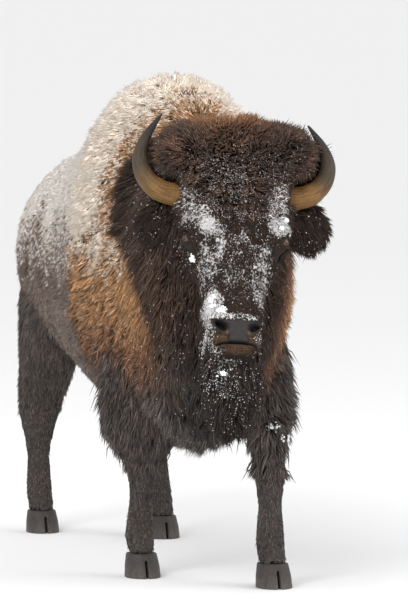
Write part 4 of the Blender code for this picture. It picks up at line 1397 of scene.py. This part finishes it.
def clump_lumps(tree, rng):
    """The middle and the size of every lump. Each clump lies on the coat round its centre."""
    places, sizes = [], []
    spots = [(HEAD @ Vector(place), *rest) for place, *rest in HEAD_CLUMPS]
    spots += [(Vector(place), *rest) for place, *rest in LEG_CLUMPS]
    for middle, radius, count, over in spots:
        for offset in rng.normal(0, 0.5, (count, 3)) * radius:
            on_skin, normal, _, _ = tree.find_nearest(middle + Vector(offset))
            size = (0.45 + 0.55 * rng.random()) * math.exp(-((np.linalg.norm(offset) / radius) ** 2) / 2)
            places.append(on_skin + normal * (over + 0.004 * rng.random()))
            sizes.append(size)
    return places, sizes


def snow_nodes(name, on_faces):
    """Geometry nodes that put one grain on each point of a bed, by its size, or spread grains over the bed's faces,
    by its frost. Returns the group and its inputs' identifiers by name."""
    group = bpy.data.node_groups.new(name, "GeometryNodeTree")
    found = {}
    for label, kind in (("Bed", "Geometry"), ("Radius", "Float"), ("Grains per square metre", "Float"),
                        ("Segments", "Int"), ("Seed", "Int"), ("Material", "Material")):
        socket = group.interface.new_socket(name=label, in_out="INPUT", socket_type="NodeSocket" + kind)
        found[label] = socket.identifier
    group.interface.new_socket(name="Snow", in_out="OUTPUT", socket_type="NodeSocketGeometry")
    given, result = group.nodes.new("NodeGroupInput").outputs, group.nodes.new("NodeGroupOutput")

    def add(kind, *values, operation=None, **named):
        """The first output of a node, with its inputs set by place and by name."""
        node = group.nodes.new(kind)
        if operation:
            node.operation = operation
        for key, value in (*enumerate(values), *named.items()):
            if isinstance(value, bpy.types.NodeSocket):
                group.links.new(value, node.inputs[key])
            else:
                node.inputs[key].default_value = value
        return node.outputs[0]

    def random_vector(low, high, seed):
        node = group.nodes.new("FunctionNodeRandomValue")
        node.data_type = "FLOAT_VECTOR"
        for key, value in ((0, (low,) * 3), (1, (high,) * 3), ("Seed", seed)):
            node.inputs[key].default_value = value
        return node.outputs[0]

    if on_faces:
        frosted = add("GeometryNodeInputNamedAttribute", Name="frost")
        density = add("ShaderNodeMath", frosted, given["Grains per square metre"], operation="MULTIPLY")
        points = add("GeometryNodeDistributePointsOnFaces", Mesh=given["Bed"], Density=density, Seed=given["Seed"])
        scale = random_vector(0.5, 1.5, 1)
    else:
        size = add("GeometryNodeInputNamedAttribute", Name="size")
        points = given["Bed"]
        scale = add("ShaderNodeVectorMath", random_vector(0.55, 1.45, 1), operation="SCALE", Scale=size)
    rings = add("ShaderNodeMath", given["Segments"], 2, operation="DIVIDE")
    ball = add("GeometryNodeMeshUVSphere", Segments=given["Segments"], Rings=rings, Radius=given["Radius"])
    placed = add("GeometryNodeInstanceOnPoints", Points=points, Instance=ball, Scale=scale,
                 Rotation=random_vector(0.0, 2 * math.pi, 2))
    real = add("GeometryNodeRealizeInstances", Geometry=placed)
    painted = add("GeometryNodeSetMaterial", Geometry=real, Material=given["Material"])
    group.links.new(painted, result.inputs["Snow"])
    return group, found


def run_nodes(bed, group, found, inputs):
    """The mesh that a node group makes of a bed mesh, with its inputs given by name."""
    holder = new_object("snow_bed", bed)
    modifier = holder.modifiers.new("snow", "NODES")
    modifier.node_group = group
    for name, value in inputs.items():
        modifier[found[name]] = value
    made = evaluated_mesh(holder)
    remove(holder)
    return made


# ---- Operators ----
CAMERA_PLACE, CAMERA_LENS = (-4.049, -15.664, 1.915), 260.3  # metres and millimetres
CAMERA_DOWN, CAMERA_TURN = 3.44, -15  # degrees below the level, and about Z


def dressed(name, mesh, material, nodes=()):
    """Puts a finished mesh on the body, in place of the solids it stands for."""
    piece = new_object(name, mesh)
    mesh.name = name
    mesh.materials.clear()
    mesh.materials.append(material)
    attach(piece, BODY)
    if nodes:
        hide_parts(*nodes)
    return piece


class BISON_OT_skin(bpy.types.Operator):
    """Draws one skin over all of the flesh"""

    bl_idname = "bison.skin"
    bl_label = "Skin"

    def execute(self, context):
        scene = context.scene
        mesh = build_skin(scene.bison_skin)
        dressed("skin", mesh, skin_material(scene.bison_skin, scene.bison_coat), FLESH)
        return {"FINISHED"}


class BISON_OT_coat(bpy.types.Operator):
    """Grows the coat on the skin, tuft by tuft"""

    bl_idname = "bison.coat"
    bl_label = "Coat"

    def execute(self, context):
        scene = context.scene
        skin = scene.objects["skin"].data
        wool = coat_material("bison_wool", scene.bison_coat, WOOL_FLECKS)
        face = coat_material("bison_face_hair", scene.bison_coat, FACE_FLECKS)
        weights = flesh_shares(skin)
        owner = share_out(skin, weights)
        for i, name in enumerate(COAT_PIECES):
            patch = SkinPatch(skin, weights, np.flatnonzero(owner == i))
            mesh = build_coat_piece(name, patch, scene.bison_coat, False)
            dressed(name, mesh, face if name in FINE_HAIRED else wool)
        return {"FINISHED"}


class BISON_OT_horns(bpy.types.Operator):
    """Builds the two horns"""

    bl_idname = "bison.horns"
    bl_label = "Horns"

    def execute(self, context):
        settings = context.scene.bison_horn
        material = horn_material(settings)
        for side in SIDES:
            dressed("horn_shell_" + side, build_horn(side, settings), material, ["horn_" + side])
        return {"FINISHED"}


class BISON_OT_hooves(bpy.types.Operator):
    """Rounds the hooves and dewclaws"""

    bl_idname = "bison.hooves"
    bl_label = "Hooves"

    def execute(self, context):
        material = hoof_material(context.scene.bison_hoof)
        for node in sorted(frame["nodes"]):
            if "hoof" in node or "dewclaw" in node:
                dressed(node + "_horn", build_hoof(node), material, [node])
        return {"FINISHED"}


class BISON_OT_eyes(bpy.types.Operator):
    """Builds the two eyeballs"""

    bl_idname = "bison.eyes"
    bl_label = "Eyes"

    def execute(self, context):
        material = eye_material(context.scene.bison_eye)
        for side in SIDES:
            dressed("eyeball_" + side, build_eye(side), material, ["eye_" + side])
        return {"FINISHED"}


class BISON_OT_snow(bpy.types.Operator):
    """Catches snow grains and small clumps in the coat of the head and the legs"""

    bl_idname = "bison.snow"
    bl_label = "Snow"

    def execute(self, context):
        scene = context.scene
        snow = scene.bison_snow
        material = snow_material(snow)
        coats = {name: scene.objects[name].data for name in COAT_PIECES}
        grains = snow.grains * 1
        per_metre = grains / sum(self.frosted_area(coats[name]) for name in SNOWY_PIECES)
        grown = snow_nodes("snow_grains", on_faces=True)
        for name in SNOWY_PIECES:
            grain = snow.grain * (CROWN_GRAIN if name == "coat_crown" else 1)
            inputs = {"Radius": grain, "Grains per square metre": per_metre, "Segments": 4, "Seed": SEED,
                      "Material": material}
            made = run_nodes(coats[name].copy(), *grown, inputs)
            dressed(name.replace("coat", "snow"), made, material)
        tree = surface_tree(scene.objects["skin"].data)
        places, sizes = clump_lumps(tree, np.random.default_rng(SEED + 50))
        bed = bpy.data.meshes.new("clump_bed")
        bed.from_pydata(places, [], [])
        attribute(bed, "size", sizes)
        inputs = {"Radius": snow.lump, "Segments": 10, "Seed": SEED, "Material": material}
        made = run_nodes(bed, *snow_nodes("snow_clumps", on_faces=False), inputs)
        shade_smooth(made)
        dressed("snow_clumps", made, material)
        for mesh in coats.values():
            mesh.attributes.remove(mesh.attributes["frost"])
        return {"FINISHED"}

    @staticmethod
    def frosted_area(mesh):
        """The area of a coat piece's faces times their frost."""
        return float((fetch(mesh.polygons, "area") * face_means(mesh, read_attribute(mesh, "frost"))).sum())


class BISON_OT_stage(bpy.types.Operator):
    """Sets the floor, the soft studio light and the camera"""

    bl_idname = "bison.stage"
    bl_label = "Stage"

    def execute(self, context):
        scene, stage = context.scene, context.scene.bison_stage
        mesh = self.floor(flat=26.0, bend=30.0)
        nodes = Nodes("pale_floor")
        mesh.materials.append(nodes.finish(stage.colour_floor, 0.9))
        new_object("floor", mesh)

        world = bpy.data.worlds.new("studio")
        world.use_nodes = True
        background = world.node_tree.nodes["Background"]
        background.inputs["Color"].default_value = (1.0, 1.0, 1.0, 1)
        background.inputs["Strength"].default_value = stage.sky
        scene.world = world
        self.softbox("softbox_key", (-5.5, -7.0, 7.5), stage.key)
        self.softbox("softbox_fill", (6.5, -4.0, 5.0), stage.key * 0.35)

        lens = bpy.data.cameras.new("camera")
        lens.sensor_fit, lens.sensor_height, lens.lens, lens.clip_end = "VERTICAL", 36, CAMERA_LENS, 200
        camera = new_object("camera", lens)
        camera.location = CAMERA_PLACE
        camera.rotation_euler = (math.radians(90 - CAMERA_DOWN), 0, math.radians(CAMERA_TURN))
        scene.camera = camera
        scene.view_settings.view_transform = "Standard"
        return {"FINISHED"}

    @staticmethod
    def floor(flat, bend, around=96, steps=24):
        """A round floor whose far edge curves up all the way round, so that no horizon shows."""
        work = bmesh.new()
        profile = [(flat, 0.0)]
        for i in range(1, steps + 1):
            angle = math.radians(40) * i / steps
            profile.append((flat + bend * math.sin(angle), bend * (1 - math.cos(angle))))
        rings = [[work.verts.new((r * math.cos(2 * math.pi * j / around), r * math.sin(2 * math.pi * j / around), z))
                  for j in range(around)] for r, z in profile]
        work.faces.new(rings[0])
        join_rings(work, rings)
        return mesh_from(work, "floor")

    @staticmethod
    def softbox(name, place, power):
        """A large square lamp that is turned towards the animal's middle."""
        light = bpy.data.lights.new(name, "AREA")
        light.size, light.energy = 5.0, power
        lamp = new_object(name, light)
        lamp.location = place
        lamp.rotation_euler = (Vector((0, 0, 0.9)) - Vector(place)).to_track_quat("-Z", "Y").to_euler()


class BISON_PT_panel(bpy.types.Panel):
    """Lists the steps that build the bison, with their settings"""

    bl_idname = "BISON_PT_panel"
    bl_label = "Bison"
    bl_space_type = "VIEW_3D"
    bl_region_type = "UI"
    bl_category = "Bison"

    def draw(self, context):
        for operator in OPERATORS:
            self.layout.operator(operator.bl_idname)
        for key, group in SETTINGS.items():
            box = self.layout.box()
            for name in group.__annotations__:
                box.prop(getattr(context.scene, key), name)


OPERATORS = (BISON_OT_skin, BISON_OT_horns, BISON_OT_hooves, BISON_OT_eyes, BISON_OT_coat, BISON_OT_snow,
             BISON_OT_stage)
CLASSES = (*SETTINGS.values(), *OPERATORS, BISON_PT_panel)


def register():
    for made in CLASSES:
        bpy.utils.register_class(made)
    for key, group in SETTINGS.items():
        setattr(bpy.types.Scene, key, bpy.props.PointerProperty(type=group))


def unregister():
    for key in SETTINGS:
        delattr(bpy.types.Scene, key)
    for made in reversed(CLASSES):
        bpy.utils.unregister_class(made)


def main():
    register()
    bpy.ops.bison.skin()
    bpy.ops.bison.horns()
    bpy.ops.bison.hooves()
    bpy.ops.bison.eyes()
    bpy.ops.bison.coat()
    bpy.ops.bison.snow()
    bpy.ops.bison.stage()


if __name__ == "__main__":
    main()
